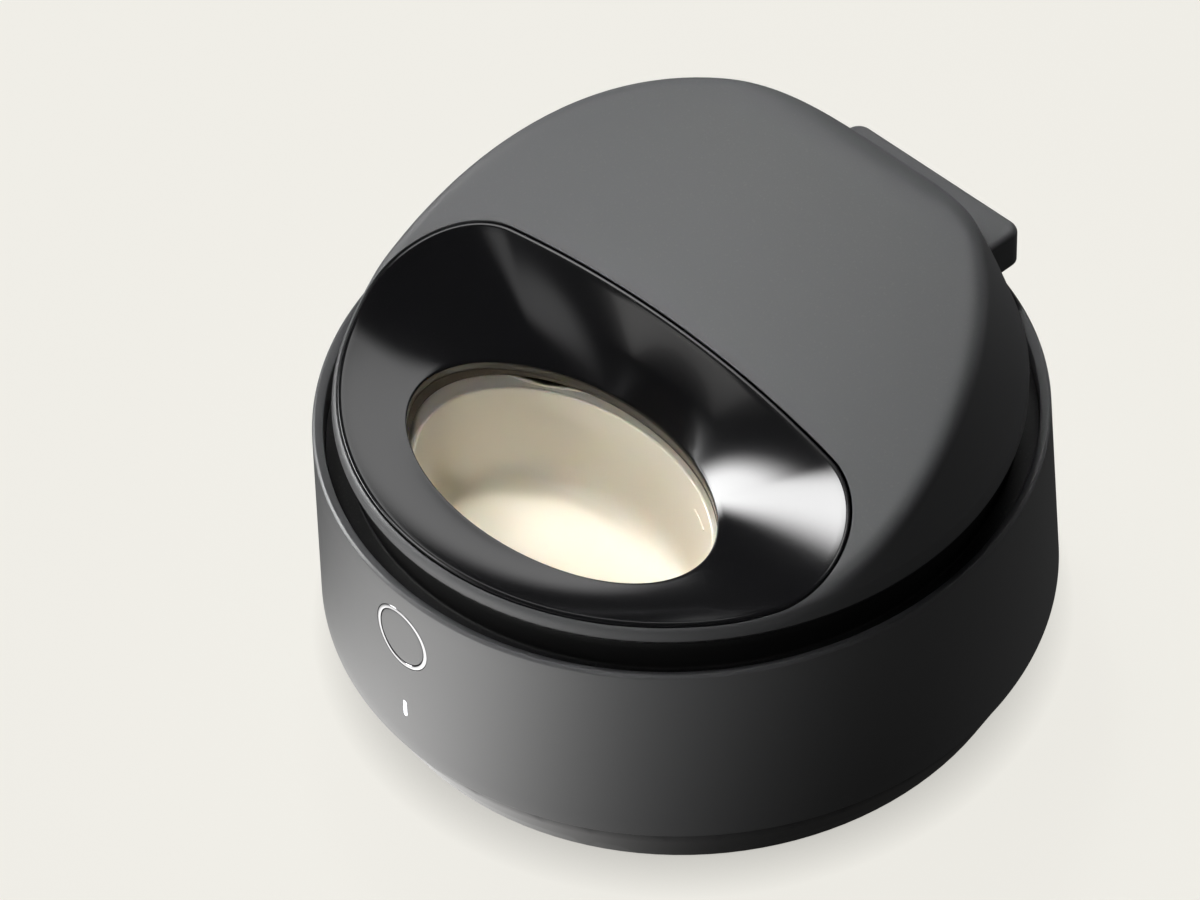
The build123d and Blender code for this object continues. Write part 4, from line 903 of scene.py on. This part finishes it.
def chain(kind, operation, *values):
    """A Math or Vector Math node of the paper, given numbers, tuples or sockets."""
    step = tree.nodes.new(kind)
    step.operation = operation
    for socket, value in zip(step.inputs, values):
        if isinstance(value, bpy.types.NodeSocket):
            tree.links.new(value, socket)
        else:
            socket.default_value = value
    return step.outputs["Value"] if operation == "DOT_PRODUCT" else step.outputs[0]


# Close to the feeder the paper sees less of the room: that share dims what the camera sees of it.
contact = tree.nodes.new("ShaderNodeAmbientOcclusion")
contact.samples = 8
contact.inputs["Distance"].default_value = SHADE_REACH
shade = chain("ShaderNodeMath", "MULTIPLY", contact.outputs["AO"], SHADE_SHARE)
open_share = chain("ShaderNodeMath", "ADD", shade, 1.0 - SHADE_SHARE)
shine = tree.nodes.new("ShaderNodeEmission")
shine.inputs["Color"].default_value = PAPER
tree.links.new(chain("ShaderNodeMath", "MULTIPLY", open_share, PAPER_GLOW), shine.inputs["Strength"])
sheet = tree.nodes.new("ShaderNodeAddShader")
tree.links.new(lit.outputs[0], sheet.inputs[0])
tree.links.new(shine.outputs[0], sheet.inputs[1])

# The bright patch: the cosine between a floor point's direction and the front, to the seventh power.
place = tree.nodes.new("ShaderNodeTexCoord")
way = chain("ShaderNodeVectorMath", "NORMALIZE", place.outputs["Object"])
facing = chain("ShaderNodeMath", "MAXIMUM", chain("ShaderNodeVectorMath", "DOT_PRODUCT", way, PATCH_WAY), 0.0)
narrow = chain("ShaderNodeMath", "POWER", facing, PATCH_FOCUS)
bright = chain("ShaderNodeMath", "MULTIPLY", narrow, PATCH_GLOW)
patch = glow(tree, "ShaderNodeEmission", PATCH_COLOUR, 0.0)
tree.links.new(chain("ShaderNodeMath", "ADD", bright, ROOM_LIGHT), patch.node.inputs["Strength"])
surface = part_by_camera(tree, sheet.outputs[0], patch)
tree.links.new(surface, tree.nodes["Material Output"].inputs["Surface"])
floor_mesh.materials.append(paper)

# %% [markdown]
# A dark product is drawn by what it reflects, so the ten area lights come in two kinds. Six only shade and
# are hidden from reflections, as a polarising filter would do: three wide ones for the wall, the back and
# the lid, and three narrow beams that reach the lid's slope and the bowl. Four are cards that are seen only
# in reflections: a large bright one to the left flashes in the right end of the scoop, and three dim ones
# give the rest of the dish and the lid their soft tones. So each can be set without upsetting the others.
# To find where a card has to hang, follow a ray from the camera to the place that should shine and mirror
# it there: the card goes where that ray ends.

# %% Lights
CARD_FADE = (("From Min", 0.5), ("From Max", 0.2), ("To Min", 0.0), ("To Max", 1.0))


def feather(data):
    """Fades a card towards its edge, as cloth on a frame does.

    The distance from its middle is 0.5 at the edge. The light is full up to 0.2 and falls smoothly to
    nothing at 0.5.
    """
    data.use_nodes = True
    nodes, links = data.node_tree.nodes, data.node_tree.links
    across = nodes.new("ShaderNodeNewGeometry")
    from_middle = nodes.new("ShaderNodeVectorMath")
    from_middle.operation = "SUBTRACT"
    from_middle.inputs[1].default_value = (0.5, 0.5, 0.0)
    links.new(across.outputs["Parametric"], from_middle.inputs[0])
    flat = nodes.new("ShaderNodeVectorMath")
    flat.operation = "MULTIPLY"
    flat.inputs[1].default_value = (1.0, 1.0, 0.0)
    links.new(from_middle.outputs[0], flat.inputs[0])
    far = nodes.new("ShaderNodeVectorMath")
    far.operation = "LENGTH"
    links.new(flat.outputs[0], far.inputs[0])
    fade = nodes.new("ShaderNodeMapRange")
    fade.interpolation_type = "SMOOTHSTEP"
    for label, value in CARD_FADE:
        fade.inputs[label].default_value = value
    links.new(far.outputs["Value"], fade.inputs["Value"])
    emission = next(node for node in nodes if node.type == "EMISSION")
    links.new(fade.outputs["Result"], emission.inputs["Strength"])


def soft_box(name, place, aim, size, power, mirrored=True, spread=180):
    """A rectangular area light that looks from its place at a point: only mirrored, or only shading."""
    data = bpy.data.lights.new(name, "AREA")
    data.shape = "RECTANGLE"
    data.size, data.size_y = size
    data.energy, data.spread = power, radians(spread)
    lamp = bpy.data.objects.new(name, data)
    bpy.context.scene.collection.objects.link(lamp)
    back = np.array(place, float) - np.array(aim, float)
    back /= np.linalg.norm(back)
    right = np.cross([0, 0, 1], back)
    right /= np.linalg.norm(right)
    stand(lamp, right, back, place)
    lamp.visible_camera = False
    lamp.visible_glossy, lamp.visible_diffuse = mirrored, not mirrored
    if mirrored:
        feather(data)


soft_box("wall_shade", (-0.75, -1.9, 0.55), (0, 0, 0.08), (0.9, 0.9), 20, mirrored=False)
soft_box("back_shade", (0.60, 2.00, 0.40), (0, 0, 0.08), (0.9, 0.6), 9, mirrored=False)
soft_box("lid_shade", (-1.15, 0.35, 2.1), (0, 0.0, 0.18), (1.2, 1.0), 33, mirrored=False)
soft_box("lid_beam", (-0.42, 0.30, 1.05), (-0.03, 0.07, 0.18), (0.12, 0.12), 0.26, mirrored=False, spread=36)
soft_box("bowl_beam", (-0.55, -0.20, 0.75), (0.05, -0.06, 0.11), (0.1, 0.1), 0.045, mirrored=False, spread=24)
soft_box("bowl_fill", (0.45, -0.60, 0.80), (-0.01, -0.05, 0.11), (0.1, 0.1), 0.042, mirrored=False, spread=22)
soft_box("fan_card", (-1.62, -0.74, 0.75), (0.09, -0.03, 0.14), (1.75, 1.10), 92)
soft_box("back_card", (-0.94, 1.30, 1.43), (-0.06, -0.10, 0.135), (1.6, 1.3), 13)
soft_box("lid_card", (-1.15, -0.35, 1.75), (0, 0.05, 0.18), (0.6, 0.6), 5)
soft_box("streak_card", (-0.69, -1.73, 1.00), (-0.06, -0.01, 0.15), (0.6, 1.3), 2.3)
bpy.context.scene.view_settings.view_transform = "Standard"
